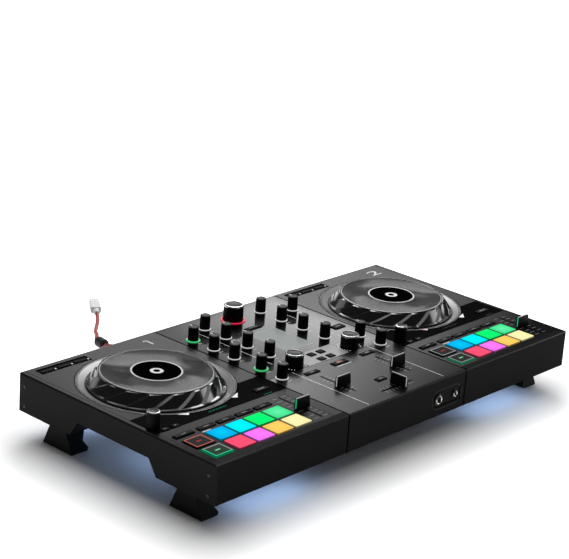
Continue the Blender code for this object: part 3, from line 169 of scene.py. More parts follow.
def operation(kind):
    """A method that adds a Math node of this kind."""
    return lambda self, *others: self.finish.node("Math", {"operation": kind}, (self, *others))


class Value:
    """A shader socket that takes part in Python arithmetic: each operation adds its Math node."""

    def __init__(self, finish, socket):
        self.finish = finish
        self.socket = socket

    __add__ = __radd__ = operation("ADD")
    __sub__ = operation("SUBTRACT")
    __mul__ = __rmul__ = operation("MULTIPLY")
    __truediv__ = operation("DIVIDE")
    __lt__ = operation("LESS_THAN")
    __gt__ = operation("GREATER_THAN")
    __abs__ = operation("ABSOLUTE")
    most = operation("MAXIMUM")
    least = operation("MINIMUM")
    root = operation("SQRT")
    sine = operation("SINE")
    fraction = operation("FRACT")

    def __rsub__(self, other):
        return self.finish.node("Math", {"operation": "SUBTRACT"}, (other, self))


def combined(values, join):
    """The values joined one after the other."""
    total, *others = values
    for value in others:
        total = join(total, value)
    return total


def laid(under, mask, value):
    return mask * value if under is None else under + mask * (value - under)


class Finish:
    """A material under construction."""

    def __init__(self, name):
        self.material = bpy.data.materials.new(name)
        self.material.use_nodes = True
        self.tree = self.material.node_tree
        self.shader = self.tree.nodes["Principled BSDF"]
        self.coordinates = self.node("TexCoord", out="Object")
        split = self.node("SeparateXYZ", values=(self.coordinates,)).socket.node
        self.x, self.y, self.z = (Value(self, split.outputs[axis]) for axis in "XYZ")

    def feed(self, socket, value):
        if isinstance(value, Value):
            self.tree.links.new(value.socket, socket)
        else:
            socket.default_value = value

    def node(self, kind, settings=None, values=(), out=0):
        made = self.tree.nodes.new("ShaderNode" + kind)
        for key, value in (settings or {}).items():
            setattr(made, key, value)
        for key, value in values.items() if isinstance(values, dict) else enumerate(values):
            self.feed(made.inputs[key], value)
        return Value(self, made.outputs[out])

    def put(self, **sockets):
        """Set or link the shader's sockets: base_color is Base Color."""
        for key, value in sockets.items():
            name = key.replace("_", " ").title().replace("Ior", "IOR")
            self.feed(self.shader.inputs[name], value)
        return self.material

    def mix(self, factor, first, second):
        sockets = {MIX_FACTOR: factor, MIX_FIRST: first, MIX_SECOND: second}
        return self.node("Mix", {"data_type": "RGBA"}, sockets, MIX_RESULT)

    def noise(self, scale):
        return self.node("TexNoise", values={"Vector": self.coordinates, "Scale": scale})

    def bump(self, height, strength, distance):
        return self.node("Bump", values={"Strength": strength, "Distance": distance, "Height": height})

    def grain(self, scale, strength, distance, specular=PLAIN_SPECULAR):
        """A fine moulded grain, with the share of light that the bare surface mirrors."""
        return self.put(normal=self.bump(self.noise(scale), strength, distance), specular_ior_level=specular)

    def leaning(self, across, along):
        """The surface's normal, leaned by shares of the piece's own X and Y."""
        lean = self.node("CombineXYZ", values=(across, along))
        turned = {"vector_type": "VECTOR", "convert_from": "OBJECT", "convert_to": "WORLD"}
        lean = self.node("VectorTransform", turned, (lean,))
        upright = self.node("NewGeometry", out="Normal")
        total = self.node("VectorMath", {"operation": "ADD"}, (upright, lean))
        return self.node("VectorMath", {"operation": "NORMALIZE"}, (total,))

    def away(self, centre):
        """Distance from an upright axis."""
        dx = self.x - centre[0]
        dy = self.y - centre[1]
        return (dx * dx + dy * dy).root()

    def band(self, value, low, high):
        return (value > low) * (value < high)

    def rect(self, centre, size):
        return (abs(self.x - centre[0]) < size[0] / 2) * (abs(self.y - centre[1]) < size[1] / 2)

    def outline(self, centre, size, line):
        return self.rect(centre, size) - self.rect(centre, (size[0] - 2 * line, size[1] - 2 * line))

    def triangle(self, corners):
        """Inside of three corners, given against the clock."""
        return combined([
            (self.y - ay) * (bx - ax) - (self.x - ax) * (by - ay) > 0.0
            for (ax, ay), (bx, by) in zip(corners, corners[1:] + corners[:1])
        ], Value.__mul__)

    def shade(self, base, roughness, layers=()):
        """Base colour and roughness with zones laid over them. A layer is a mask with a colour, roughness,
        coat, metal or light."""
        tone = self.mix(self.noise(TONE_SCALE) * TONE_SHARE, base, scaled(base, PALER))
        rough = self.noise(WEAR_SCALE) * WEAR_SPREAD + roughness
        coat = metallic = light = None
        for mask, what in layers:
            if "colour" in what:
                tone = self.mix(mask, tone, what["colour"])
            if "rough" in what:
                rough = laid(rough, mask, what["rough"])
            if "coat" in what:
                coat = laid(coat, mask, what["coat"])
            if "metal" in what:
                metallic = laid(metallic, mask, what["metal"])
            if "light" in what:
                light = self.mix(mask, light or DARK, what["light"])
        self.put(base_color=tone, roughness=rough)
        if coat is not None:
            self.put(coat_weight=coat, coat_roughness=COAT_ROUGHNESS)
        if metallic is not None:
            self.put(metallic=metallic)
        if light is not None:
            self.put(emission_color=light, emission_strength=1.0)


def plastic(name, base, roughness, grain=0.00004, scale=1400.0, specular=0.3):
    """Moulded plastic with a fine grain and a slight change of tone."""
    f = Finish(name)
    f.shade(base, roughness)
    return f.grain(scale, 0.5, grain, specular)


def metal(name, base, roughness):
    f = Finish(name)
    marks = f.noise(900.0)
    f.put(base_color=f.mix(marks * 0.25, base, scaled(base, 0.6)))
    return f.put(roughness=marks * 0.08 + roughness, metallic=1.0)


def lamp(name, light, strength=1.0):
    """A lit diffuser, a little uneven."""
    f = Finish(name)
    f.put(base_color=scaled(light, 0.2), roughness=f.noise(500.0) * 0.1 + 0.35)
    shine = f.mix(f.noise(160.0) * 0.18, light, scaled(light, 0.72))
    return f.put(emission_color=shine, emission_strength=strength)


# Modelling


def clear_selection():
    if bpy.context.object and bpy.context.object.mode != "OBJECT":
        bpy.ops.object.mode_set(mode="OBJECT")
    bpy.ops.object.select_all(action="DESELECT")


def choose(obj):
    """Make the object the only one that is selected."""
    clear_selection()
    obj.select_set(True)
    bpy.context.view_layer.objects.active = obj


def settle(obj):
    """Put the object's place into its mesh."""
    choose(obj)
    bpy.ops.object.transform_apply(location=True, rotation=True, scale=True)
    return obj


def apply_modifier(obj, kind, **settings):
    choose(obj)
    modifier = obj.modifiers.new(kind.title(), kind)
    for key, value in settings.items():
        setattr(modifier, key, value)
    bpy.ops.object.modifier_apply(modifier=modifier.name)


def smooth(obj, degrees=32.0):
    choose(obj)
    bpy.ops.object.shade_smooth_by_angle(angle=math.radians(degrees))
    return obj


def shifted(obj, place):
    """Put the object's mesh in its place, by a shift or a matrix."""
    obj.data.transform(place if isinstance(place, Matrix) else Matrix.Translation(place))
    return obj


def lathe(name, profile, segments=64, closed=False):
    """A ring drawn out step by step along a profile of (radius, height) about the Z axis. A closed
    profile comes back to its start; otherwise both ends are capped."""
    clear_selection()
    radius, height = profile[0]
    bpy.ops.mesh.primitive_circle_add(vertices=segments, radius=radius, location=(0.0, 0.0, height))
    obj = settle(bpy.context.object)
    obj.name = name
    bpy.ops.object.mode_set(mode="EDIT")
    bpy.ops.mesh.select_all(action="SELECT")
    extrude = bpy.ops.mesh.extrude_edges_move
    if not closed:
        bpy.ops.mesh.edge_face_add()
        bpy.ops.mesh.select_all(action="SELECT")
        extrude = bpy.ops.mesh.extrude_region_move
    for next_radius, next_height in profile[1:] + (profile[:1] if closed else []):
        extrude(TRANSFORM_OT_translate={"value": (0.0, 0.0, next_height - height)})
        share = next_radius / radius
        bpy.ops.transform.resize(value=(share, share, 1.0), center_override=(0.0, 0.0, next_height))
        radius, height = next_radius, next_height
    bpy.ops.mesh.select_all(action="SELECT")
    bpy.ops.mesh.remove_doubles(threshold=TINY)
    bpy.ops.mesh.normals_make_consistent(inside=False)
    bpy.ops.object.mode_set(mode="OBJECT")
    return smooth(obj)


def edit_chosen(obj, kind, wanted, change):
    """Make a change in edit mode to the faces or edges that are wanted."""
    tools = bpy.context.tool_settings
    tools.mesh_select_mode = (False, kind == "edges", kind == "polygons")
    bpy.ops.object.mode_set(mode="EDIT")
    bpy.ops.mesh.select_all(action="DESELECT")
    bpy.ops.object.mode_set(mode="OBJECT")
    for item in getattr(obj.data, kind):
        item.select = wanted(item)
    bpy.ops.object.mode_set(mode="EDIT")
    change()
    bpy.ops.object.mode_set(mode="OBJECT")
    tools.mesh_select_mode = (True, False, False)


def bevel_edges(obj, width, segments, chosen):
    """Bevel the edges that are chosen by the heights of their ends."""
    def wanted(edge):
        return chosen(*(obj.data.vertices[index].co.z for index in edge.vertices))

    edit_chosen(obj, "edges", wanted,
                lambda: bpy.ops.mesh.bevel(offset=width, segments=segments, affect="EDGES"))


def cube(name, centre, size):
    clear_selection()
    bpy.ops.mesh.primitive_cube_add(size=1.0, location=centre)
    obj = bpy.context.object
    obj.name = name
    obj.scale = size
    return settle(obj)


def block(name, centre, size, bevel, segments=3, taper=None):
    """A box with eased edges. Taper is the share of its width and depth that is left at the top."""
    obj = cube(name, centre, size)
    if taper:
        middle = (centre[0], centre[1], centre[2] + size[2] / 2)
        edit_chosen(obj, "polygons", lambda face: face.normal.z > 0.9,
                    lambda: bpy.ops.transform.resize(value=(*taper, 1.0), center_override=middle))
    apply_modifier(obj, "BEVEL", width=bevel, segments=segments, limit_method="ANGLE")
    return smooth(obj, 40.0)


def keycap(name, place, size, low, top, corner, chamfer):
    """A key with rounded corners and a chamfered upper edge."""
    obj = cube(name, (*place, (low + top) / 2), (*size, top - low))
    bevel_edges(obj, corner, 4, lambda start, end: abs(start - end) > TINY)
    bevel_edges(obj, chamfer, 2, lambda start, end: min(start, end) > top - TINY)
    return smooth(obj, 30.0)


def copy_to(obj, name, place):
    """A copy with its own mesh, put in its place."""
    made = bpy.data.objects.new(name, obj.data.copy())
    bpy.context.scene.collection.objects.link(made)
    return shifted(made, place)


def joined(objects, name):
    clear_selection()
    for obj in objects:
        obj.select_set(True)
    bpy.context.view_layer.objects.active = objects[0]
    bpy.ops.object.join()
    made = bpy.context.object
    made.name = name
    return made


def discard(*forms):
    for form in forms:
        bpy.data.objects.remove(form)


def dress(obj, material):
    obj.data.materials.clear()
    obj.data.materials.append(material)


def dress_node(node, material):
    dress(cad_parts[node], material)


def piece(obj, material, body, slot, *nodes):
    dress(obj, material)
    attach(obj, body)
    if nodes:
        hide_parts(*nodes)
    return obj


# Stage

CAMERA_PLACE = Vector((-1.3639, -1.1710, 0.7800))
CAMERA_AZIMUTH = -48.39
CAMERA_ELEVATION = 19.40
CAMERA_ROLL = 4.01
CAMERA_LENS = 115.74
WORLD_LIGHT = 0.10
FLOOR_SIZE = 60.0
FLOOR_TONE = 0.93
FLOOR_SPREAD = 1.03
# Painted shadow: the floor's glow rises from nothing at the body's footprint to full over this distance
PAINTED_SHADOW_FADE = 0.13
PAINTED_SHADOW_REACH = (0.266, 0.117)
LIGHT_AIM = Vector((0.0, 0.0, 0.05))
LIGHTS = (
    ("top light", (0.5, 0.7, 2.4), 2.4, 36.0),
    ("back light", (1.65, 1.45, 1.95), 1.3, 36.0),
    ("low light", (2.87, 2.46, 1.38), 3.0, 10.5),
    ("left light", (-0.58, 1.97, 0.45), 0.7, 2.0),
    ("right light", (1.90, -0.85, 0.45), 0.7, 5.0),
)
SHEEN_LAMPS = 6
SHEEN_LEVELS = (0.35, 3.3)
GLOSS_FRONT = -0.0310


def build_camera():
    azimuth, elevation, roll = (math.radians(a) for a in (CAMERA_AZIMUTH, CAMERA_ELEVATION, CAMERA_ROLL))
    back = Vector((math.sin(azimuth) * math.cos(elevation), -math.cos(azimuth) * math.cos(elevation),
                   math.sin(elevation)))
    level = Vector((math.cos(azimuth), math.sin(azimuth), 0.0))
    rise = back.cross(level)
    right = level * math.cos(roll) + rise * math.sin(roll)
    up = rise * math.cos(roll) - level * math.sin(roll)
    clear_selection()
    bpy.ops.object.camera_add(location=CAMERA_PLACE)
    camera = bpy.context.object
    camera.rotation_euler = Matrix((right, up, back)).transposed().to_euler()
    camera.data.lens = CAMERA_LENS
    camera.data.sensor_width = 36.0
    camera.data.sensor_fit = "HORIZONTAL"
    camera.data.clip_start = 0.01
    bpy.context.scene.camera = camera


def build_world():
    world = bpy.data.worlds.new("Studio")
    bpy.context.scene.world = world
    world.use_nodes = True
    background = world.node_tree.nodes["Background"]
    background.inputs["Color"].default_value = WHITE
    background.inputs["Strength"].default_value = WORLD_LIGHT


def area_light(name, place, size, power, depth=None):
    """A square lamp aimed at the body, or with a depth an oblong one that shines straight down."""
    clear_selection()
    bpy.ops.object.light_add(type="AREA", location=place)
    light = bpy.context.object
    light.name = name
    light.data.energy = power
    light.data.size = size
    if depth is None:
        light.data.shape = "SQUARE"
        light.rotation_euler = (LIGHT_AIM - Vector(place)).to_track_quat("-Z", "Y").to_euler()
    else:
        light.data.shape = "RECTANGLE"
        light.data.size_y = depth


def mirror_place(x, y):
    """Where the camera's ray arrives after the flat panel has mirrored it."""
    start = Vector((x, y, TOP))
    ray = start - CAMERA_PLACE
    return start + 2 * Vector((ray.x, ray.y, -ray.z))


def sheen_lights():
    """A row of weak lamps, brighter to the right, which the mixer's gloss part mirrors."""
    low = mirror_place(-SEAM, GLOSS_FRONT)
    high = mirror_place(SEAM, BACK)
    width = (high.x - low.x) / SHEEN_LAMPS
    depth = high.y - low.y
    for number in range(SHEEN_LAMPS):
        share = number / (SHEEN_LAMPS - 1)
        level = SHEEN_LEVELS[0] + (SHEEN_LEVELS[1] - SHEEN_LEVELS[0]) * share
        place = (low.x + width * (number + 0.5), (low.y + high.y) / 2, low.z)
        area_light(f"sheen light {number}", place, width, level * math.pi * width * depth, depth)


def build_floor():
    """A pale floor that shows white to the camera and in reflections, and keeps the shadow. Its glow fades out
    towards the body, which paints a shadow round the footprint over the lamps' own shadow.
    """
    clear_selection()
    bpy.ops.mesh.primitive_plane_add(size=FLOOR_SIZE, location=(0.0, 0.0, 0.0))
    floor = settle(bpy.context.object)
    floor.name = "floor"
    f = Finish("pale floor")
    rays = [f.node("LightPath", out=f"Is {kind} Ray") for kind in ("Camera", "Glossy", "Transmission")]
    # Distance from the body's footprint: the floor's glow fades out towards it, a painted shadow near the body
    out = [(abs(along) - reach).most(0.0) for along, reach in zip((f.x, f.y), PAINTED_SHADOW_REACH)]
    away = (out[0] * out[0] + out[1] * out[1]).root()
    glow_beyond_painted_shadow = f.node("MapRange", values={"Value": away, "From Max": PAINTED_SHADOW_FADE})
    f.put(base_color=f.mix(f.noise(3.0), grey(FLOOR_TONE), grey(FLOOR_TONE * FLOOR_SPREAD)),
          emission_color=f.mix(combined(rays, Value.most) * glow_beyond_painted_shadow, DARK, WHITE), emission_strength=1.0,
          roughness=0.9, specular_ior_level=0.0)
    dress(floor, f.material)


def build_stage():
    bpy.context.scene.view_settings.view_transform = "Standard"
    build_camera()
    build_world()
    build_floor()
    for light in LIGHTS:
        area_light(*light)
    sheen_lights()


# Lead

BOOT = "usb_boot"
BEAD = "ferrite_bead"
PLUG = "usb_plug"
COIL_CENTRE = (-0.055, 0.185)
COIL_TURNS = 6 + 5 / 6
COIL_POINTS = 24
COIL_START = 90.0
COIL_STEP = 0.5  # share of a turn in which the spiral goes down a layer
LEAD_LIFT = 0.0001
LEAD_STRAIGHT = 1.8  # in diameters, and so is the spacing
LEAD_SPACING = 1.2
ROUTE_STEPS = 24
FIT = 0.0003
LEAD_IN_ROUTE = (
    (-0.1195, 0.1845, 0.0450),
    (-0.1165, 0.1950, 0.0352),
    (-0.1110, 0.2040, 0.0235),
    (-0.1030, 0.2115, 0.0148),
    (-0.0915, 0.2172, 0.0102),
    (-0.0795, 0.2200, 0.0084),
)
TAIL_ROUTE_TO_BEAD = (
    (-0.0735, 0.2240, 0.0026),
    (-0.0665, 0.2366, 0.0042),
)
BEAD_HEADING = 80.0
BEAD_LENGTH = 0.015
BEAD_RUN = 0.0033
TAIL_ROUTE_TO_PLUG = (
    (-0.0350, 0.2922, 0.0050),
    (-0.0284, 0.3020, 0.0030),
    (-0.0195, 0.3112, 0.0024),
    (-0.0044, 0.3256, 0.0024),
    (0.0059, 0.3368, 0.0025),
    (0.0130, 0.3463, 0.0030),
    (0.0185, 0.3540, 0.0038),
)
PLUG_HEADING = 54.0
PLUG_GRIP = 0.0212
PLUG_TONE = grey(0.76, 0.75)
RELIEF_LENGTH = 0.010
RELIEF_RIBS = 4
RELIEF_RADIUS = 0.0030
RELIEF_FLARE = 0.0009
RELIEF_NOTCH = 0.0003
TIE_ANGLE = -150.0
TIE_REACH = 0.0014
TIE_RISE = 0.0012
TIE_SHEET = 0.0006
TIE_EASE = 0.0008


def heading(degrees):
    angle = math.radians(degrees)
    return Vector((math.cos(angle), math.sin(angle), 0.0))


def coil_points():
    """Piled loops: in on the upper layer, down where the spiral reverses, out below."""
    lead = lead_settings()
    count = round(COIL_TURNS * COIL_POINTS)
    points = []
    for number in range(count + 1):
        turn = COIL_TURNS * number / count
        from_middle = turn - COIL_TURNS / 2
        radius = lead.coil_radius + lead.coil_pitch * abs(from_middle)
        angle = math.radians(COIL_START) - 2 * math.pi * turn
        share = min(max(from_middle + COIL_STEP / 2, 0.0) / COIL_STEP, 1.0)
        height = lead.diameter / 2 + LEAD_LIFT + lead.coil_pitch * (1 - share * share * (3 - 2 * share))
        points.append(Vector((COIL_CENTRE[0] + radius * math.cos(angle),
                              COIL_CENTRE[1] + radius * math.sin(angle), height)))
    first = (points[0] - points[1]).normalized()
    last = (points[-1] - points[-2]).normalized()
    first.z = last.z = 0.0
    return [points[0] + first * lead.diameter] + points + [points[-1] + last * lead.diameter]


def smooth_route(points, spacing):
    """A Catmull-Rom curve through the points, read at even steps."""
    ends = [2 * points[0] - points[1]] + points + [2 * points[-1] - points[-2]]
    dense = []
    for i in range(1, len(ends) - 2):
        before, start, end, after = ends[i - 1:i + 3]
        for step in range(ROUTE_STEPS):
            t = step / ROUTE_STEPS
            dense.append(0.5 * (2 * start + (end - before) * t
                                + (2 * before - 5 * start + 4 * end - after) * t * t
                                + (3 * start - before - 3 * end + after) * t ** 3))
    dense.append(points[-1])
    lengths = [0.0]
    for start, end in zip(dense, dense[1:]):
        lengths.append(lengths[-1] + (end - start).length)
    count = max(round(lengths[-1] / spacing), 2)
    route = []
    index = 0
    for number in range(count + 1):
        wanted = lengths[-1] * number / count
        while index < len(dense) - 2 and lengths[index + 1] < wanted:
            index += 1
        share = (wanted - lengths[index]) / (lengths[index + 1] - lengths[index])
        route.append(dense[index].lerp(dense[index + 1], share))
    return route


def lead_points():
    lead = lead_settings()
    coil = coil_points()
    low, high = box_of(BOOT)
    exit_point = Vector(((low.x + high.x) / 2, high.y + FIT, (low.z + high.z) / 2))
    straight = lead.diameter * LEAD_STRAIGHT
    arriving = (coil[0] - coil[1]).normalized()
    start = coil[0] + arriving * FIT
    way_in = [exit_point, exit_point + Vector((0.0, straight, 0.0))]
    way_in += [Vector(p) for p in LEAD_IN_ROUTE] + [start + arriving * straight, start]
    onward = (coil[-1] - coil[-2]).normalized()
    leaving = coil[-1] + onward * FIT
    bead = middle_of(BEAD)
    half = BEAD_LENGTH / 2
    runs = (-half - BEAD_RUN, -half, 0.0, half, half + BEAD_RUN)
    tail = [leaving, leaving + onward * straight] + [Vector(p) for p in TAIL_ROUTE_TO_BEAD]
    tail += [bead + heading(BEAD_HEADING) * run for run in runs]
    tail += [Vector(p) for p in TAIL_ROUTE_TO_PLUG]
    spacing = lead.diameter * LEAD_SPACING
    return smooth_route(way_in, spacing) + coil + smooth_route(tail, spacing)


def build_lead():
    lead = lead_settings()
    points = lead_points()
    clear_selection()
    bpy.ops.curve.primitive_bezier_curve_add()
    obj = bpy.context.object
    obj.name = "usb_lead"
    curve = obj.data
    curve.splines.clear()
    spline = curve.splines.new("POLY")
    spline.points.add(len(points) - 1)
    for point, place in zip(spline.points, points):
        point.co = (*place, 1.0)
    curve.dimensions = "3D"
    curve.bevel_depth = lead.diameter / 2
    curve.bevel_resolution = 4
    curve.use_fill_caps = True
    f = Finish("red jacket")
    f.shade((*lead.colour, 1.0), 0.42)
    total = sum((b - a).length for a, b in zip(points, points[1:]))
    piece(obj, f.grain(1600.0, 0.4, 0.00005), ROOT, "lead", "lead_in", "lead_coil", "lead_tail")
    relief = build_plug(points[-1])
    tuple(points[0])
    build_tie()
    rubber = plastic("moulded rubber", grey(0.010, 0.011), 0.55, grain=0.0001)
    for node in (BOOT, BEAD):
        dress_node(node, rubber)


def build_plug(end):
    """The pale plug's finish, and its ribbed strain relief over the lead's last stretch."""
    ahead = heading(PLUG_HEADING)
    f = Finish("pale plug")
    bright = f.x * ahead.x + f.y * ahead.y > end.dot(ahead) + PLUG_GRIP
    f.put(base_color=f.mix(bright, PLUG_TONE, colour("chrome")), metallic=bright,
          roughness=f.noise(500.0) * 0.15 + 0.45 - bright * 0.25)
    dress_node(PLUG, f.grain(1500.0, 0.3, 0.00005))
    profile = []
    rib = RELIEF_LENGTH / RELIEF_RIBS
    for number in range(RELIEF_RIBS):
        radius = RELIEF_RADIUS + RELIEF_FLARE * number / RELIEF_RIBS
        along = rib * number - RELIEF_LENGTH
        notch = radius - RELIEF_NOTCH
        profile += [(notch, along), (radius, along + rib * 0.2)]
        profile += [(radius, along + rib * 0.75), (notch, along + rib * 0.9)]
    turn = Matrix.Rotation(math.radians(PLUG_HEADING), 4, "Z") @ Matrix.Rotation(math.pi / 2, 4, "Y")
    relief = shifted(lathe("plug_relief", profile, 32), Matrix.Translation(end) @ turn)
    return piece(relief, plastic("pale relief", PLUG_TONE, 0.45), ROOT, "plug")


def build_tie():
    """A strap bent over the coil's turns."""
    lead = lead_settings()
    outer = lead.coil_radius + lead.coil_pitch * COIL_TURNS / 2
    reach = outer - lead.coil_radius + lead.diameter + TIE_REACH
    height = 2 * lead.coil_pitch + TIE_RISE
    obj = cube("coil_tie", (0.0, 0.0, height / 2), (reach, lead.tie_width, height))
    edit_chosen(obj, "polygons", lambda face: abs(face.normal.y) > 0.9 or face.normal.z < -0.9,
                lambda: bpy.ops.mesh.delete(type="FACE"))
    apply_modifier(obj, "SOLIDIFY", thickness=TIE_SHEET, offset=-1.0)
    apply_modifier(obj, "BEVEL", width=TIE_EASE, segments=3, limit_method="ANGLE")
    obj.rotation_euler = (0.0, 0.0, math.radians(TIE_ANGLE))
    obj.location = Vector((*COIL_CENTRE, 0.0)) + heading(TIE_ANGLE) * (outer + lead.coil_radius) / 2
    settle(obj)
    smooth(obj)
    strap = plastic("tie strap", grey(0.012, 0.013), 0.6, grain=0.0002, scale=2400.0)
    piece(obj, strap, ROOT, "grip")


# Body

DECK_X = 0.1825
PANEL_SKIN = 0.0002
STRIP_FRONT = -0.0560
STRIP_BACK = -0.0163
FRAME_INSET = 0.0055
HAIRLINE = 0.0006
LONG_LINE = 0.0009
SEAM_LINE = 0.0010
EDGE = 0.0016
MARGIN = 0.0085
LINE_X = 0.0592
WELL_LINE = (0.0812, 0.0007)  # radius and width
TEMPO_LINE = ((0.0750, -0.0990), (HAIRLINE, 0.066))  # place and size, as in the next ones
BANK_MARK = ((-0.0464, -0.0786), (0.0112, 0.0013))
LABELS = (((-0.0020, -0.0488), (0.0248, 0.0013)), ((0.0652, -0.0528), (0.0121, 0.0012)))
METER = ((0.0, 0.0403), (0.040, 0.0593))
# A painted reflection: a lighter patch at the front of the mixer's gloss part
PAINTED_SHEEN_PANEL = ((0.0, -0.0165), (0.062, 0.029))
UNDERLINE = ((0.0012, -0.0500), (0.0228, 0.0009))
KNOB_DASH_Y = -0.0108
KNOB_DASH = (0.0056, 0.0008)
LONG_LINE_SPANS = ((-0.004, 0.104), (-0.135, -0.031))
SOCKET_Z = 0.047
SOCKET_PLATE = (0.0632, 0.0137, 0.0105, 0.0004)  # middle, half length, radius of the ends, half line
TEMPO_Y = -0.09625
CHANNEL_Y = -0.08045
TEMPO_TICKS = (0.0070, 0.045, (0.0030, 0.0098), 0.0285)
CHANNEL_TICKS = (0.005, 0.07, (0.0025, 0.0066), 0.0215)
CROSS_TICKS = (0.005, 0.07, (0.0025, 0.0066), 0.0225)
SATIN = {
    "left": ((-0.270, -0.130), 0.04, 1.10, 1.85),
    "right": ((0.100, -0.065), 0.66, -2.56, 5.30),
    "mixer": ((-0.090, -0.060), 0.85, -1.40, 6.00),
}
SATIN_LEAST = 0.03
MATT_BLACK = {"colour": grey(0.0015), "rough": 0.8, "coat": 0.0}
GREY_PRINT = grey(0.26)
TEAL_LIGHT = (0.0, 0.17, 0.11, 1.0)
PINK_LIGHT = (0.80, 0.30, 0.34, 1.0)
NEAR_WEDGES = {
    "left": ((-0.0424, -0.0339), (-0.0339, -0.0419), (-0.0307, -0.0386)),
    "right": ((-0.0394, -0.0342), (-0.0322, -0.0413), (-0.0289, -0.0387)),
}
FAR_WEDGE = ((0.0284, -0.0378), (0.0331, -0.0416), (0.0419, -0.0330))
SCREW_HEAD = [(0.0018, 0.0), (0.0018, 0.0004), (0.0014, 0.0006), (0.0009, 0.0006), (0.0008, 0.0002)]
SCREW_PLACES = ((-0.130, 0.057), (-0.130, 0.036), (0.130, 0.057), (0.130, 0.036))
FRONT_SOCKETS = (("phones", 0.0495, 0.0062, 0.0034), ("mini", 0.0769, 0.0042, 0.0020))
LINE_SOCKETS = 4
LINE_SOCKET_X = 0.012
LINE_SOCKET_PITCH = 0.017
LINE_RING = [(0.0030, 0.0), (0.0046, 0.0), (0.0046, 0.0008), (0.0030, 0.0012)]
LINE_TUBE = [(0.0022, 0.0), (0.0029, 0.0), (0.0029, 0.0050), (0.0022, 0.0050)]
GLOW_STRENGTH = 5.5
GLOW_SHEET = 0.0014
GLOW_X = 0.180
GLOW_LENGTH = 0.090
GLOW_INSET = 0.022
END_GLOW_X = 0.205
END_GLOW_Z = 0.0445
END_GLOW_LENGTH = 0.080
PRINT = 0.0001
NUMERAL_PLACE = (0.0645, 0.1188)
NUMERAL_WIDTH = 0.0158
STROKE_WIDTH = 0.0020
FLAG_SIZE = (0.0048, 0.0022)


def sloped(f, place, value, across, along):
    """A share that changes evenly over the panel, from its value at a place."""
    return (((f.x - place[0]) * across + (f.y - place[1]) * along) + value).most(SATIN_LEAST).least(1.0)


def jog_wedges(f, side):
    """The two pointed marks at the front of a jog wheel."""
    shift = DECKS[side] * DECK_X
    return [f.triangle([(x + shift, y) for x, y in wedge]) for wedge in (NEAR_WEDGES[side], FAR_WEDGE)]


def edge_layers(f):
    """Satin sides, and a pale line on the front's upper edge: a painted highlight in a lighter colour, under a
    strong coat.
    """
    front = f.y < FRONT + EDGE
    return [
        (front, {"coat": 0.08}),
        (abs(f.x) > OUTER - EDGE, {"coat": 0.15}),
        ((f.z > TOP - EDGE) * front, {"coat": 0.9, "colour": grey(0.02)}),
    ]


def tick_marks(f, across, along, pitch, line, span, reach):
    """Marks on both sides of a slot. Line is half a mark's width as a share of the pitch, span says where
    a mark starts and ends beside the slot, and reach is half the row's length."""
    step = (along / pitch + 0.5).fraction()
    return (abs(step - 0.5) < line) * f.band(abs(across), *span) * (abs(along) < reach)


def deck_layers(f, side):
    """Gloss strip, frame lines and prints on a deck's panel."""
    shift = DECKS[side] * DECK_X
    upper = f.z > TOP - PANEL_SKIN
    white = colour("print_white")

    def printed(place, size):
        return f.rect((shift + place[0], place[1]), size) * upper

    frame_x = OUTER - FRAME_INSET
    strip = f.band(f.y, STRIP_FRONT, STRIP_BACK) * (abs(f.x) < frame_x) * upper
    frame_line = (abs(abs(f.x) - frame_x) < HAIRLINE / 2) * upper
    seam = abs(f.x) < SEAM + SEAM_LINE
    radius, line = WELL_LINE
    rim = (abs(f.away(middle_of(f"{side}_jog_disc")) - radius) < line / 2) * upper
    near, far = jog_wedges(f, side)
    ticks = tick_marks(f, f.x - middle_of(f"{side}_tempo_fader").x, f.y - TEMPO_Y, *TEMPO_TICKS)
    dashes = f.band(((f.x - shift) * 210.0).fraction(), 0.0, 0.78)
    labels = printed(*LABELS[0]).most(printed(*LABELS[1])) * dashes
    left = side == "left"
    return edge_layers(f) + [
        (upper, {"rough": 0.36, "coat": sloped(f, *SATIN[side])}),
        ((f.y < FRONT + MARGIN) * upper, {"coat": 0.06}),
        (strip, {"colour": colour("gloss"), "rough": 0.30, "coat": 0.012}),
        (frame_line.most(printed(*TEMPO_LINE)).most(seam), MATT_BLACK),
        (rim, MATT_BLACK),
        (near * upper, {"colour": white, "light": grey(0.5) if left else PINK_LIGHT}),
        (far * upper, {"colour": white, "light": grey(0.45)}),
        (ticks * upper, {"colour": GREY_PRINT}),
        (printed(*BANK_MARK), {"colour": white, "light": grey(0.10)}),
        (labels, {"light": TEAL_LIGHT} if left else {"colour": grey(0.06)}),
    ]


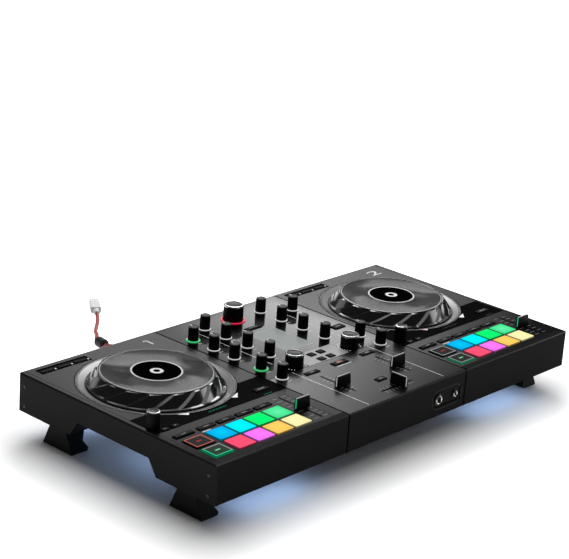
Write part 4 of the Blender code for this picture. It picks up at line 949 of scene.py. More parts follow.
def mixer_layers(f):
    """Gloss rear part with a painted sheen at its front, the pale meter panel, long lines and fader marks."""
    white = colour("print_white")
    upper = f.z > TOP - PANEL_SKIN
    lines = abs(abs(f.x) - LINE_X) < LONG_LINE / 2
    lines = lines * combined([f.band(f.y, *span) for span in LONG_LINE_SPANS], Value.most) * upper
    seams = abs(f.x) > SEAM - SEAM_LINE
    cross_line = (abs(f.y - GLOSS_FRONT) < HAIRLINE / 2) * (abs(f.x) < LINE_X) * upper
    knobs = [middle_of(node) for node in SMALL_KNOBS]
    knob_marks = combined([f.rect((knob.x, knob.y + KNOB_DASH_Y), KNOB_DASH) for knob in knobs], Value.most)
    ticks = [tick_marks(f, f.x - middle_of(f"{side}_channel_fader").x, f.y - CHANNEL_Y, *CHANNEL_TICKS)
             for side in DECKS]
    ticks.append(tick_marks(f, f.y - middle_of("crossfader").y, f.x, *CROSS_TICKS))
    plate_x, plate_half, plate_radius, plate_line = SOCKET_PLATE
    reach = (abs(f.x - plate_x) - plate_half).most(0.0)
    rise = f.z - SOCKET_Z
    plate = abs((reach * reach + rise * rise).root() - plate_radius) < plate_line
    return edge_layers(f) + [
        (upper, {"rough": 0.36, "coat": sloped(f, *SATIN["mixer"])}),
        ((f.y > GLOSS_FRONT) * upper, {"colour": grey(0.02, 0.0202), "rough": 0.05, "coat": 0.2, "metal": 1.0}),
        (knob_marks * upper, {"colour": white, "metal": 0.0}),
        # Painted sheen: the gloss part's bright reflection, laid on as a pale colour
        (f.rect(*PAINTED_SHEEN_PANEL) * upper, {"colour": grey(0.44), "rough": 0.12, "metal": 0.0, "coat": 0.4}),
        (f.rect(*METER) * upper, {"colour": (0.27, 0.30, 0.295, 1.0), "rough": 0.08, "metal": 0.0, "coat": 0.6}),
        (f.outline(*METER, HAIRLINE) * upper, {"colour": (0.34, 0.42, 0.39, 1.0)}),
        (lines, {"colour": white, "metal": 0.0}),
        (cross_line.most(seams), {**MATT_BLACK, "metal": 0.0}),
        (combined(ticks, Value.most) * upper, {"colour": GREY_PRINT}),
        (f.rect(*UNDERLINE) * upper, {"colour": white}),
        (plate * (f.y < FRONT + EDGE), {"colour": grey(0.06)}),
    ]


def build_body():
    for side in DECKS:
        f = Finish(f"{side} deck panel")
        f.shade(colour("shell"), 0.52, deck_layers(f, side))
        dress_node(f"{side}_shell", f.grain(3200.0, 0.3, 0.00001, 0.0))
    f = Finish("mixer panel")
    f.shade(colour("shell"), 0.52, mixer_layers(f))
    dress_node("mixer_shell", f.grain(3200.0, 0.2, 0.000006, 0.0))
    base = plastic("base moulding", grey(0.006, 0.0063), 0.55, 0.0002, 900.0, 0.10)
    dress_node("base_plate", base)
    for side in DECKS:
        for end in ("front", "rear"):
            dress_node(f"{side}_{end}_leg", base)
    f = Finish("circuit board")
    tracks = f.mix(f.noise(120.0) > 0.55, (0.008, 0.07, 0.03, 1.0), (0.012, 0.11, 0.05, 1.0))
    dress_node("main_board", f.put(base_color=tracks, roughness=0.45))
    build_screws()
    build_sockets()
    build_glow()
    build_numerals()


def build_screws():
    """Small recessed screws at the ends of the body's sides."""
    head = lathe("screw_head", SCREW_HEAD, 24)
    black = metal("blackened screw", grey(0.05, 0.052), 0.4)
    for side, sign in DECKS.items():
        turn = Matrix.Rotation(sign * math.pi / 2, 4, "Y")
        for number, (y, z) in enumerate(SCREW_PLACES):
            place = Matrix.Translation((sign * OUTER, y, z)) @ turn
            piece(copy_to(head, f"{side}_side_screw_{number}", place), black, ROOT, "base")
    discard(head)


def build_sockets():
    """Collars of the headphone sockets in front and of the line sockets behind."""
    chrome = metal("socket collar", (0.66, 0.64, 0.58, 1.0), 0.22)
    dark = plastic("socket nut", grey(0.006, 0.0063), 0.35)

    def ring(name, profile, segments, place, turn, material, slot):
        made = lathe(name, profile, segments, closed=True)
        shifted(made, Matrix.Translation(place) @ Matrix.Rotation(turn, 4, "X"))
        piece(made, material, ROOT, slot)

    for name, x, outer, bore in FRONT_SOCKETS:
        seat = bore + 0.0012
        sleeve = bore + 0.0011
        nut = [(seat, 0.0), (outer, 0.0), (outer, 0.0011), (outer - 0.0006, 0.0016), (seat, 0.0016)]
        collar = [(bore, 0.0), (sleeve, 0.0), (sleeve, 0.0018), (bore + 0.0007, 0.0022), (bore, 0.0018)]
        place = (x, FRONT + 0.0010, SOCKET_Z)
        ring(f"{name}_socket_nut", nut, 48, place, math.pi / 2, dark, "base")
        ring(f"{name}_socket_collar", collar, 48, place, math.pi / 2, chrome, "cap")
    for number in range(LINE_SOCKETS):
        place = (LINE_SOCKET_X + LINE_SOCKET_PITCH * number, BACK, SOCKET_Z)
        tone = (0.45, 0.015, 0.015, 1.0) if number % 2 else grey(0.70, 0.68)
        tinted = plastic(f"socket ring {number}", tone, 0.4)
        ring(f"line_socket_ring_{number}", LINE_RING, 40, place, -math.pi / 2, tinted, "base")
        ring(f"line_socket_tube_{number}", LINE_TUBE, 40, place, -math.pi / 2, chrome, "cap")


def build_glow():
    """Light strips along the underside that wash the floor."""
    light = lamp("glow strip", colour("glow"), GLOW_STRENGTH)
    width = trim().glow_width
    low = UNDER - 0.0008
    long_strip = (GLOW_LENGTH, width, GLOW_SHEET)
    end_strip = (width, END_GLOW_LENGTH, GLOW_SHEET)
    for side, sign in DECKS.items():
        for end, centre, size in (("front", (sign * GLOW_X, FRONT + GLOW_INSET, low), long_strip),
                                  ("rear", (sign * GLOW_X, BACK - GLOW_INSET, low), long_strip),
                                  ("end", (sign * END_GLOW_X, 0.0, END_GLOW_Z), end_strip)):
            piece(block(f"{side}_{end}_glow", centre, size, 0.0004), light, ROOT, "cap")


def build_numerals():
    """The decks' numerals, printed at the rear: a plain stroke with its flag, and a wide two."""
    white = plastic("pale print", colour("print_white"), 0.5)
    height = trim().numeral
    stroke = block("stroke", (0.0, 0.0, 0.0), (STROKE_WIDTH, height, PRINT), PRINT / 4, 2)
    flag_place = (-FLAG_SIZE[0] / 2, (height - FLAG_SIZE[1]) / 2, 0.0)
    flag = block("flag", flag_place, (*FLAG_SIZE, PRINT), PRINT / 4, 2)
    one = joined([stroke, flag], "left_numeral")
    clear_selection()
    bpy.ops.object.text_add(location=(0.0, 0.0, 0.0))
    two = bpy.context.object
    two.data.body = "2"
    two.data.size = height
    two.data.extrude = PRINT / 2
    bpy.ops.object.convert(target="MESH")
    two = bpy.context.object
    two.name = "right_numeral"
    low, high = (Vector([reach(axis) for axis in zip(*two.bound_box)]) for reach in (min, max))
    span = high - low
    shifted(two, -(low + high) / 2)
    shifted(two, Matrix.Diagonal((NUMERAL_WIDTH / span.x, height / span.y, 1.0, 1.0)))
    for obj, sign in ((one, -1), (two, 1)):
        shifted(obj, (NUMERAL_PLACE[0] + sign * DECK_X, NUMERAL_PLACE[1], TOP + PRINT / 2))
        piece(obj, white, ROOT, "shell")


# Jog wheels

GRIP_FACETS = 16
GRIP_PHASES = (0.0, 0.1, 0.2, 0.3, 0.4, 0.5, 0.6, 0.7, 0.8, 0.88, 0.92, 0.96)
GRIP_FACE = 0.88
GRIP_LEAN = 0.80
GRIP_DEPTH = 0.0026
GRIP_RINGS = 10
GRIP_TOP = 0.0609
GRIP_FOOT = 0.0692
RIM_BORE = 0.0560
RIM_UNDER = 0.0030
RIM_EDGE = 0.0586
WELL_EDGE = 0.0788
WELL_LIP = 0.0777
WELL_FOOT = 0.0712
LIP_LINES = ((0.0784, 0.0788), (0.0799, 0.0803))
WELL_RING = [
    (0.0705, -0.0031), (0.0718, -0.0025), (0.0774, -0.0001), (0.0779, 0.0001), (0.0785, 0.0003),
    (0.0790, 0.0003), (0.0793, -0.0001), (0.0796, 0.0003), (0.0801, 0.0003), (0.0804, 0.0001),
    (0.0804, -0.0002), (0.0790, -0.0010), (0.0720, -0.0048), (0.0705, -0.0048),
]
WELL_BLACK = grey(0.004)
GROOVES = 830.0
GROOVE_SLOPE = 0.25
LABEL_LINE = 0.0009
DISC_EDGE = 0.0009
DISC_DISH = 0.0002


def build_jogs():
    for side in DECKS:
        build_well(side)
        build_wheel(side)
        build_disc(side)


def build_well(side):
    """A dished satin ring round the wheel, with a double line at its edge."""
    jog = middle_of(f"{side}_jog_well")
    profile = [(radius, TOP + rise) for radius, rise in WELL_RING]
    ring = shifted(lathe(f"{side}_well_ring", profile, 160, closed=True), (jog.x, jog.y, 0.0))
    f = Finish(f"{side} well satin")
    away = f.away(jog)
    near, far = jog_wedges(f, side)
    lip = (away > WELL_LIP) - f.band(away, *LIP_LINES[0]) - f.band(away, *LIP_LINES[1])
    # The ring's foot next to the wheel is painted black, a painted shade of the gap under the wheel; the lip is
    # black apart from its two lines
    dark = lip.most(away < WELL_FOOT)
    f.shade(grey(0.29, 0.293), 0.30, [
        (1.0 - dark, {"metal": 0.5}),
        (dark, {"colour": WELL_BLACK}),
        (near.most(far) * (away > WELL_EDGE), {"colour": colour("print_white")}),
    ])
    spun = f.bump((away * 9000.0).sine(), 0.10, 0.00002)
    piece(ring, f.put(normal=spun, specular_ior_level=0.1), ROOT, "shell")
    dress_node(f"{side}_jog_well", plastic(f"{side} well floor", WELL_BLACK, 0.5))


def build_wheel(side):
    """The faceted wheel: slanted saw-tooth planes between a round foot and a round shoulder."""
    jog = middle_of(f"{side}_jog_wheel")
    top = top_of(f"{side}_jog_disc")
    shoulder = top - 0.0013
    foot = TOP - 0.0003
    profile = [(RIM_BORE, top - RIM_UNDER), (0.0577, top - RIM_UNDER), (0.0577, top - 0.0002), (0.0580, top),
               (0.0584, top - 0.0001), (0.0590, top - 0.0009)]
    for number in range(GRIP_RINGS + 1):
        share = number / GRIP_RINGS
        profile.append((GRIP_TOP + (GRIP_FOOT - GRIP_TOP) * share, shoulder + (foot - shoulder) * share))
    profile += [(0.0697, foot - 0.0005), (0.0700, foot - 0.0012), (0.0700, TOP - RIM_UNDER),
                (RIM_BORE, TOP - RIM_UNDER)]
    wheel = lathe(f"{side}_wheel_rim", profile, GRIP_FACETS * len(GRIP_PHASES), closed=True)
    cut_facets(wheel, shoulder, foot)
    shifted(wheel, (jog.x, jog.y, 0.0))
    smooth(wheel, 14.0)
    f = Finish(f"{side} wheel gloss")
    edge = f.away(jog) < RIM_EDGE
    f.shade(grey(0.0060, 0.0063), 0.14, [(edge, {"colour": grey(0.06, 0.061), "rough": 0.40, "metal": 0.8})])
    gloss = f.put(coat_weight=0.8, coat_roughness=0.12, specular_ior_level=0.2)
    piece(wheel, gloss, f"{side}_jog", "rim", f"{side}_jog_wheel")


def cut_facets(obj, shoulder, foot):
    """Turn and press the rim's rings, so that each facet leans and falls to the step before the next."""
    columns = GRIP_FACETS * len(GRIP_PHASES)
    pitch = 2 * math.pi / GRIP_FACETS
    for vertex in obj.data.vertices:
        radius = math.hypot(vertex.co.x, vertex.co.y)
        rise = min(max((vertex.co.z - foot) / (shoulder - foot), 0.0), 1.0)
        column = round(math.atan2(vertex.co.y, vertex.co.x) / (2 * math.pi) * columns) % columns
        number, place = divmod(column, len(GRIP_PHASES))
        phase = GRIP_PHASES[place]
        fall = phase / GRIP_FACE if phase <= GRIP_FACE else (1.0 - phase) / (1.0 - GRIP_FACE)
        if foot - TINY < vertex.co.z < shoulder + TINY and radius > GRIP_TOP - TINY:
            radius -= GRIP_DEPTH * fall
        angle = pitch * (number + phase + GRIP_LEAN * rise)
        vertex.co.x = radius * math.cos(angle)
        vertex.co.y = radius * math.sin(angle)


def build_disc(side):
    """The grooved top disc with its label and middle ring."""
    node = f"{side}_jog_disc"
    jog = middle_of(node)
    low, high = box_of(node)
    radius = (high.x - low.x) / 2 + 0.0002
    label_radius = trim().label_radius
    top = high.z
    dish = top - DISC_DISH
    profile = [(radius, low.z), (radius, top - 0.0005), (radius - 0.0003, top - 0.0001), (radius - 0.0008, top),
               (radius - 0.0014, dish), (label_radius + 0.0012, dish), (label_radius + 0.0006, top),
               (label_radius - 0.0006, top), (label_radius - 0.0012, dish), (0.004, dish)]
    disc = shifted(lathe(f"{side}_top_disc", profile, 128), (jog.x, jog.y, 0.0))
    f = Finish(f"{side} grooved disc")
    away = f.away(jog)
    edge = away > radius - DISC_EDGE
    grooved = 1.0 - (away < label_radius + LABEL_LINE).most(edge)
    hub = abs(away - trim().hub_radius) < trim().hub_width / 2
    f.shade(grey(0.034, 0.0344), 0.10, [
        (grooved, {"metal": 0.65}),
        (f.band((away * 230.0).fraction(), 0.0, 0.10), {"colour": grey(0.030, 0.031)}),
        (away < label_radius, {"colour": grey(0.0012), "rough": 0.5}),
        (abs(away - label_radius) < LABEL_LINE, {"colour": grey(0.80), "rough": 0.4}),
        (hub, {"colour": grey(0.90), "rough": 0.4}),
        (edge, {"colour": grey(0.70, 0.71), "rough": 0.5}),
    ])
    flank = ((away * GROOVES).fraction() > 0.5) * 2.0 - 1.0
    tilt = flank * ((away * 1900.0).sine() * 0.15 + 1.0) * grooved * GROOVE_SLOPE
    lean = f.leaning((f.x - jog.x) / away * tilt, (f.y - jog.y) / away * tilt)
    piece(disc, f.put(specular_ior_level=0.0, normal=lean), f"{side}_jog", "disc", node)


# Knobs and encoders

RING_FOOT = 0.00005
RING_GREEN = (0.045, 0.46, 0.15, 1.0)
GREEN_RINGS = ("master_level_knob", "left_effect_knob")
KNOB_ROUGH = 0.44
FILTER_RIM = 0.0016
FILTER_RIM_LOW = 0.0024
FILTER_DOTS = 21
FILTER_DOT = [(0.00055, 0.00002), (0.00055, 0.00012), (0.0003, 0.00014)]
DOT_START = 225.0
DOT_STEP = 13.5
DOT_REACH = 0.0026
CAP_INSIDE = grey(0.03, 0.031)
ENCODERS = (
    ("browse_encoder", 0.0022, 0.0020, grey(0.05, 0.052)),
    ("left_loop_encoder", 0.0012, 0.0010, CAP_INSIDE),
    ("right_loop_encoder", 0.0012, 0.0010, CAP_INSIDE),
)


def on_panel(node):
    """The place on the panel under a node's middle."""
    place = middle_of(node)
    return Vector((place.x, place.y, TOP))


def fluted(obj, reach, radius, low, high, count, depth):
    """Grip flutes pressed into the side between two heights, within a reach of its radius."""
    for vertex in obj.data.vertices:
        distance = math.hypot(vertex.co.x, vertex.co.y)
        if not (low <= vertex.co.z <= high and abs(distance - radius) < reach):
            continue
        angle = math.atan2(vertex.co.y, vertex.co.x)
        share = (distance - depth * (0.5 - 0.5 * math.cos(angle * count))) / distance
        vertex.co.x *= share
        vertex.co.y *= share


def small_knob(height):
    """A straight fluted knob with a flat crown, on its axis, panel at height 0."""
    knob = lathe("knob_form", [
        (0.0024, 0.0004), (0.0057, 0.0004), (0.0059, 0.0008), (0.0059, 0.0018), (0.0058, 0.0022),
        (0.0056, height - 0.0013), (0.0056, height - 0.0008), (0.0054, height - 0.0004), (0.0049, height),
        (0.0045, height), (0.0041, height - 0.0003), (0.0008, height - 0.0003),
    ], 120)
    fluted(knob, 0.0004, 0.0057, 0.0020, height - 0.0010, 20, 0.0005)
    return knob


def knob_finish(top):
    """Black rubber with a painted highlight: a lighter crown, and a paler band round its edge."""
    f = Finish("knob rubber")
    f.shade(colour("knob"), KNOB_ROUGH, [
        (f.z > top - 0.0004, {"colour": grey(0.016, 0.0165), "rough": 0.34}),
        (f.band(f.z, top - 0.0009, top - 0.00005), {"colour": grey(0.075, 0.077), "rough": 0.30}),
    ])
    return f.grain(2600.0, 0.5, 0.00004, 0.06)


def base_ring(name, radius, width, height):
    inner = radius - width
    profile = [(inner, RING_FOOT), (radius, RING_FOOT), (radius, height * 0.6), (radius - width * 0.25, height),
               (inner, height)]
    return lathe(name, profile, 64, closed=True)


def build_knobs():
    top = top_of("left_gain_knob")
    height = top - TOP
    knob = small_knob(height)
    rubber = knob_finish(top)
    ring = base_ring("ring_form", trim().knob_ring, 0.0008, 0.0007)
    lit_ring = base_ring("lit_ring_form", trim().lit_ring, 0.0018, 0.0011)
    # The pale rings, the pointers and the scale dots glow: painted light that lifts them out of shade
    white = lamp("pale ring", grey(0.62, 0.61))
    green = lamp("green ring", RING_GREEN)
    pointer = block("pointer_form", (0.0, 0.0043, height - 0.0004), (0.0009, 0.0030, 0.0011), 0.0002)
    for node in SMALL_KNOBS:
        place = on_panel(node)
        name = node.removesuffix("_knob")
        piece(copy_to(knob, f"{name}_grip", place), rubber, node, "knob", node)
        piece(copy_to(pointer, f"{name}_pointer", place), white, node, "knob")
        form, light = (lit_ring, green) if node in GREEN_RINGS else (ring, white)
        piece(copy_to(form, f"{name}_ring", place), light, ROOT, "knob")
    discard(knob, ring, lit_ring, pointer)
    build_filter_knobs(white)
    build_encoders()


def capped_knob(name, radius, height, rim):
    """A fluted drum under a bright rim with a dished middle."""
    knob = lathe(name, [
        (0.0024, 0.0004), (radius - 0.0003, 0.0004), (radius, 0.0009), (radius - 0.0002, height - 0.0042),
        (radius - 0.0006, height - 0.0036), (radius, height - 0.0030), (radius, height - 0.0010),
        (radius - 0.0006, height - 0.0002), (radius - 0.0012, height), (radius - rim, height - 0.0002),
        (radius - rim - 0.0005, height - 0.0009), (radius * 0.45, height - 0.0014), (0.0010, height - 0.0015),
    ], 120)
    fluted(knob, 0.0005, radius, 0.0009, height - 0.0040, 30, 0.0005)
    return knob


def capped_finish(name, place, radius, height, rim, middle, rim_low):
    """Dark fluted side, bright rim and a middle of its own tone."""
    f = Finish(name)
    away = f.away(place)
    top = TOP + height
    inner = radius - rim - 0.0004
    bright = (f.z > top - rim_low) * (away > inner)
    inside = (f.z > top - 0.0030) * (away < inner)
    f.shade(colour("knob"), KNOB_ROUGH, [
        (bright, {"colour": grey(0.58, 0.59), "rough": 0.24}),
        (inside, {"colour": middle, "rough": 0.22}),
    ])
    f.put(metallic=bright)
    return f.grain(2600.0, 0.3, 0.00003, 0.06)


def capped_size(node):
    """Radius of a capped knob, and its height over the panel."""
    low, high = box_of(node)
    return (high.x - low.x) / 2, high.z - TOP


def build_filter_knobs(white):
    radius, height = capped_size("left_filter_knob")
    knob = capped_knob("filter_form", radius, height, FILTER_RIM)
    dot = lathe("dot_form", FILTER_DOT, 12)
    for side in DECKS:
        node = f"{side}_filter_knob"
        place = on_panel(node)
        finish = capped_finish(f"{side} filter knob", place, radius, height, FILTER_RIM, CAP_INSIDE, FILTER_RIM_LOW)
        piece(copy_to(knob, f"{side}_filter_grip", place), finish, node, "knob", node)
        dots = [copy_to(dot, "dot", place + heading(DOT_START - DOT_STEP * number) * (radius + DOT_REACH))
                for number in range(FILTER_DOTS)]
        piece(joined(dots, f"{side}_filter_scale"), white, ROOT, "knob")
    discard(knob, dot)


def build_encoders():
    for node, rim, rim_low, middle in ENCODERS:
        radius, height = capped_size(node)
        place = on_panel(node)
        knob = shifted(capped_knob(f"{node}_grip", radius, height, rim), place)
        finish = capped_finish(node.replace("_", " "), place, radius, height, rim, middle, rim_low)
        piece(knob, finish, node, "cap", node)
    ring = base_ring("browse_ring", trim().browse_ring, 0.0018, 0.0010)
    shifted(ring, on_panel("browse_encoder"))
    piece(ring, lamp("red ring", colour("red"), 0.75), ROOT, "knob")


# Faders

CAP_TAPER = (0.96, 0.62)
CAP_LIFT = 0.0004
CAP_LINE = 0.0009
LINE_SHARE = 0.965
EDGE_SHARE = 0.492
EDGE_SIZE = (0.0004, 0.0010)
STEM = (0.0016, 0.0016, 0.008)


def build_faders():
    dark = plastic("fader cap", colour("knob"), 0.40, specular=0.06)
    # The pale line and pale end edges glow: painted light on ends that face away from the lamps
    pale = lamp("fader line", grey(0.36))
    green = lamp("fader light", colour("green"), 0.9)
    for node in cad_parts:
        if node.endswith("fader"):
            build_fader(node, dark, pale, green if "tempo" in node else pale)


def build_fader(node, dark, pale, edge_light):
    """A tapered cap with a line over its top and a glowing edge at each end, on its stem. The glow of the line and
    of pale edges is painted light.
    """
    low, high = box_of(node)
    x, y, _ = (low + high) / 2
    width, depth, _ = high - low
    reach = max(width, depth)
    base = TOP + CAP_LIFT
    height = high.z - base

    def laid_out(along, across):
        """X and Y of a measure along the cap's long side and one across it."""
        return (along, across) if width > depth else (across, along)

    taper = laid_out(*CAP_TAPER)
    cap = block(f"{node}_cap", (x, y, base + height / 2), (width, depth, height), 0.0006, 3, taper)
    piece(cap, dark, node, "knob", node)
    line_size = (*laid_out(reach * LINE_SHARE, CAP_LINE), 0.0004)
    piece(block(f"{node}_line", (x, y, high.z + 0.0001), line_size, 0.0001, 2), pale, node, "knob")
    edges = []
    edge_size = (*laid_out(*EDGE_SIZE), height * 0.90)
    for sign in (-1, 1):
        dx, dy = laid_out(sign * (reach * EDGE_SHARE + 0.0001), 0.0)
        edges.append(block("edge", (x + dx, y + dy, base + height * 0.52), edge_size, 0.0001, 2))
    piece(joined(edges, f"{node}_edges"), edge_light, node, "knob")
    piece(block(f"{node}_stem", (x, y, TOP - 0.003), STEM, 0.0002, 2), dark, node, "knob")


# Pads and keys

PAD_COLOURS = (
    ("red", (1.0, 0.085, 0.19), (0.88, 0.085, 0.16)),
    ("magenta", (1.0, 0.22, 0.96), (0.90, 0.15, 0.90)),
    ("orange", (1.0, 0.68, 0.12), (0.90, 0.54, 0.13)),
    ("yellow", (1.0, 0.92, 0.47), (0.94, 0.84, 0.40)),
    ("blue", (0.0, 0.64, 0.95), (0.004, 0.34, 0.82)),
    ("cyan", (0.0, 0.96, 1.0), (0.0, 0.80, 0.92)),
    ("green", (0.0, 0.95, 0.20), (0.01, 0.86, 0.15)),
    ("mint", (0.15, 0.90, 0.46), (0.02, 0.74, 0.20)),
)
PAD_COLUMNS = 4
PAD_PITCH = (0.0257, 0.0246)
PAD_SIZE = (0.0230, 0.0216)
PAD_CHAMFER = 0.0008
PAD_CORNER = 0.0016
KEY_CORNER = 0.0006
KEY_CHAMFER = 0.0005
KEY_PROUD = 0.0012
KEY_SIZE = (0.0222, 0.0063)
LOOP_KEY = (0.0080, 0.0056)
SYNC_KEY = (0.0186, 0.0070)
MODE_MARK = (0.007, 0.0011)
LOOP_MARK = (0.0026, 0.0011)
SYNC_MARK = (0.0095, 0.0018)
SHIFT_MARK = (0.006, 0.0011)
STRIP_MARK = (0.007, 0.0010)
TRANSPORT_MARK = (0.0062, 0.0018)
FIRST_PAD = -0.0408
FRONT_PAD_Y = -0.11725
MODE_Y = -0.0722
LOOP_Y = -0.0524
LOOP_KEYS_X = (-0.0758, -0.0623)
SYNC_PLACE = (0.0658, -0.0419)
LISTEN_X = 0.0435
LISTEN_Y = -0.04455
MIX_Y = -0.04405
FRONT_KEY_Y = -0.10015
KEY_FACE = 0.0006
TRANSPORT_RISE = 0.0013
STRIP_KEYS = 3
STRIP_PITCH = 0.065 / 3
STRIP_DOT = [(0.0009, -0.0004), (0.0009, 0.0001), (0.0005, 0.0004), (0.0002, 0.0004)]
STRIP_DOT_DROP = 0.0011
LINE = 0.0013
TRANSPORT_FACE = (0.0224, 0.0188)
KEY_GRAIN = (1800.0, 0.4, 0.00003, 0.02)
PALE_LIGHT = grey(0.30)
DIM_RED = (0.42, 0.012, 0.012, 1.0)
PALE_GREEN = (0.18, 0.75, 0.32, 1.0)
DARK_GREEN = (0.0, 0.020, 0.008, 1.0)
SIDE_GREEN = (0.0, 0.16, 0.065, 1.0)


def pad_finish(name, place, light, rim, top):
    """Lit silicone: bright in the middle, deeper towards the rim and deepest on the sides."""
    f = Finish(name)
    out = (f.away(place) / PAD_SIZE[0] * 1.7).least(1.0)
    bright = f.mix(f.noise(140.0) * 0.2 + out * 0.8, (*light, 1.0), (*rim, 1.0))
    f.put(base_color=scaled(light, 0.08), roughness=f.noise(500.0) * 0.1 + 0.45,
          emission_color=f.mix(f.z > top - 0.0003, scaled(light, 0.16), bright), emission_strength=1.0)
    return f.grain(2200.0, 0.3, 0.00003, 0.0)


def key_finish(name, marks):
    """Dark key with short pale marks on its face. A mark is its place and size."""
    f = Finish(name)
    face = f.z > TOP + KEY_FACE
    f.shade(colour("knob"), 0.40, [(f.rect(*mark) * face, {"colour": GREY_PRINT}) for mark in marks])
    return f.grain(*KEY_GRAIN)


def dress_key(node, size):
    dress_node(node, key_finish(node.replace("_", " "), [(middle_of(node), size)]))


def build_pads():
    for side, sign in DECKS.items():
        build_pad_set(side, sign * DECK_X)
        build_transport(side)
        build_strip(side)
    dress_key("browse_key", (0.012, 0.0010))
    dress_key("assist_key", (0.008, 0.0018))
    marks = [((sign * LISTEN_X, LISTEN_Y), (0.006, 0.0022)) for sign in (-1, 1)]
    marks.append(((0.0, FRONT_KEY_Y), (0.005, 0.0016)))
    dress_node("mixer_key_sheet", key_finish("mixer keys", marks))
    light = block("mix_key_light", (0.0, MIX_Y, TOP + 0.00125), (0.009, 0.0030, 0.0003), 0.0001, 2)
    piece(light, lamp("mix key light", (0.16, 0.006, 0.012, 1.0)), "mixer_key_sheet", "knob")


def build_pad_set(side, deck_x):
    """Eight lit pads with the keys behind them, in place of the deck's sheet."""
    node = f"{side}_pad_sheet"
    low, high = box_of(node)
    columns = [deck_x + FIRST_PAD + column * PAD_PITCH[0] for column in range(PAD_COLUMNS)]
    for number, (tone, light, rim) in enumerate(PAD_COLOURS):
        row, column = divmod(number, PAD_COLUMNS)
        place = (columns[column], FRONT_PAD_Y + row * PAD_PITCH[1])
        pad = keycap(f"{side}_{tone}_pad", place, PAD_SIZE, low.z, high.z, PAD_CORNER, PAD_CHAMFER)
        piece(pad, pad_finish(f"{side} {tone} pad", place, light, rim, high.z), node, "pads", node)
    spots = [((x, MODE_Y), KEY_SIZE, MODE_MARK) for x in columns]
    spots += [((deck_x + x, LOOP_Y), LOOP_KEY, LOOP_MARK) for x in LOOP_KEYS_X]
    spots.append(((deck_x + SYNC_PLACE[0], SYNC_PLACE[1]), SYNC_KEY, SYNC_MARK))
    keys = [keycap("key", place, size, low.z, TOP + KEY_PROUD, KEY_CORNER, KEY_CHAMFER)
            for place, size, _ in spots]
    finish = key_finish(f"{side} mode keys", [(place, mark) for place, _, mark in spots])
    piece(joined(keys, f"{side}_mode_keys"), finish, node, "knob", node)


def transport_finish(name, place, lights, inside, mark):
    """A dark key with a lit outline. Lights are those of the near edges, the far edges and the sides."""
    f = Finish(name)
    near_light, far_light, side_light = lights
    width, depth = TRANSPORT_FACE
    face = f.z > TOP + TRANSPORT_RISE
    outline = f.outline(place, TRANSPORT_FACE, LINE) * face
    near = (f.x < place.x - width / 2 + LINE).most(f.y < place.y - depth / 2 + LINE)
    layers = [(face, {"light": inside})]
    if side_light:
        layers.append(((1.0 - face) * near, {"light": side_light}))
    layers += [
        (outline, {"light": far_light}),
        (outline * near, {"light": near_light}),
        (f.rect(place, TRANSPORT_MARK) * face, {"light": mark}),
    ]
    f.shade(colour("knob"), 0.40, layers)
    return f.grain(*KEY_GRAIN)


def build_transport(side):
    left = side == "left"
    cue = colour("salmon") if left else PALE_LIGHT
    play = colour("green") if left else PALE_LIGHT
    looks = {
        "cue": ((cue, cue, None), DARK, DIM_RED),
        "play": ((play, PALE_LIGHT, SIDE_GREEN), DARK_GREEN if left else DARK, PALE_GREEN),
    }
    for name, look in looks.items():
        node = f"{side}_{name}_key"
        dress_node(node, transport_finish(f"{side} {name} key", middle_of(node), *look))
    dress_key(f"{side}_shift_key", SHIFT_MARK)


def build_strip(side):
    node = f"{side}_strip_keys"
    place = middle_of(node)
    marks = [((place.x + (number - 1) * STRIP_PITCH, place.y), STRIP_MARK) for number in range(STRIP_KEYS)]
    dress_node(node, key_finish(f"{side} strip keys", marks))
    dot = lathe("dot_form", STRIP_DOT, 16)
    height = top_of(node) - STRIP_DOT_DROP
    dots = [copy_to(dot, "dot", (place.x + (number - 0.5) * STRIP_PITCH, place.y, height))
            for number in range(STRIP_KEYS)]
    discard(dot)
    lights = joined(dots, f"{side}_strip_lights")
    piece(lights, lamp(f"{side} strip lights", grey(0.75), 0.9), node, "knob")


# Operators


class CONTROLLER_OT_stage(bpy.types.Operator):
    """Camera, light and floor"""

    bl_idname = "controller.stage"
    bl_label = "Stage"

    def execute(self, context):
        build_stage()
        return {"FINISHED"}


class CONTROLLER_OT_lead(bpy.types.Operator):
    """USB lead with its coil, tie, bead and plug"""

    bl_idname = "controller.lead"
    bl_label = "Lead"

    def execute(self, context):
        build_lead()
        return {"FINISHED"}


class CONTROLLER_OT_body(bpy.types.Operator):
    """Shells, base, legs, sockets, screws, light strips and numerals"""

    bl_idname = "controller.body"
    bl_label = "Body"

    def execute(self, context):
        build_body()
        return {"FINISHED"}


class CONTROLLER_OT_jogs(bpy.types.Operator):
    """Jog wheels, discs and wells"""

    bl_idname = "controller.jogs"
    bl_label = "Jog wheels"

    def execute(self, context):
        build_jogs()
        return {"FINISHED"}


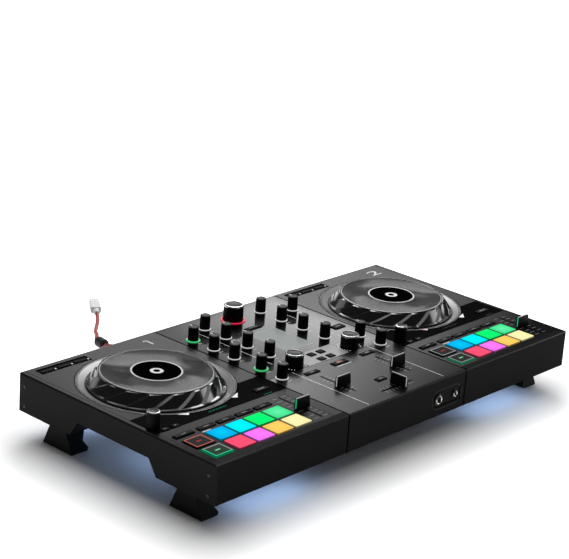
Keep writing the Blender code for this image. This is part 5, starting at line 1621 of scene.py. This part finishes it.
class CONTROLLER_OT_knobs(bpy.types.Operator):
    """Knobs, encoders and their rings"""

    bl_idname = "controller.knobs"
    bl_label = "Knobs"

    def execute(self, context):
        build_knobs()
        return {"FINISHED"}


class CONTROLLER_OT_faders(bpy.types.Operator):
    """Fader caps with their lines"""

    bl_idname = "controller.faders"
    bl_label = "Faders"

    def execute(self, context):
        build_faders()
        return {"FINISHED"}


class CONTROLLER_OT_pads(bpy.types.Operator):
    """Lit pads and keys"""

    bl_idname = "controller.pads"
    bl_label = "Pads and keys"

    def execute(self, context):
        build_pads()
        return {"FINISHED"}


OPERATORS = (
    CONTROLLER_OT_stage,
    CONTROLLER_OT_lead,
    CONTROLLER_OT_body,
    CONTROLLER_OT_jogs,
    CONTROLLER_OT_knobs,
    CONTROLLER_OT_faders,
    CONTROLLER_OT_pads,
)


class CONTROLLER_PT_panel(bpy.types.Panel):
    """The controller's pieces"""

    bl_label = "Controller"
    bl_idname = "CONTROLLER_PT_panel"
    bl_space_type = "VIEW_3D"
    bl_region_type = "UI"
    bl_category = "Controller"

    def draw(self, context):
        for operator in OPERATORS:
            self.layout.operator(operator.bl_idname)


CLASSES = (LeadSettings, TrimSettings, ColourSettings, *OPERATORS, CONTROLLER_PT_panel)


def register():
    for cls in CLASSES:
        bpy.utils.register_class(cls)
    bpy.types.Scene.controller_lead = bpy.props.PointerProperty(type=LeadSettings)
    bpy.types.Scene.controller_trim = bpy.props.PointerProperty(type=TrimSettings)
    bpy.types.Scene.controller_colours = bpy.props.PointerProperty(type=ColourSettings)


def unregister():
    del bpy.types.Scene.controller_colours
    del bpy.types.Scene.controller_trim
    del bpy.types.Scene.controller_lead
    for cls in reversed(CLASSES):
        bpy.utils.unregister_class(cls)


def main():
    register()
    bpy.ops.controller.stage()
    bpy.ops.controller.lead()
    bpy.ops.controller.body()
    bpy.ops.controller.jogs()
    bpy.ops.controller.knobs()
    bpy.ops.controller.faders()
    bpy.ops.controller.pads()


if __name__ == "__main__":
    main()
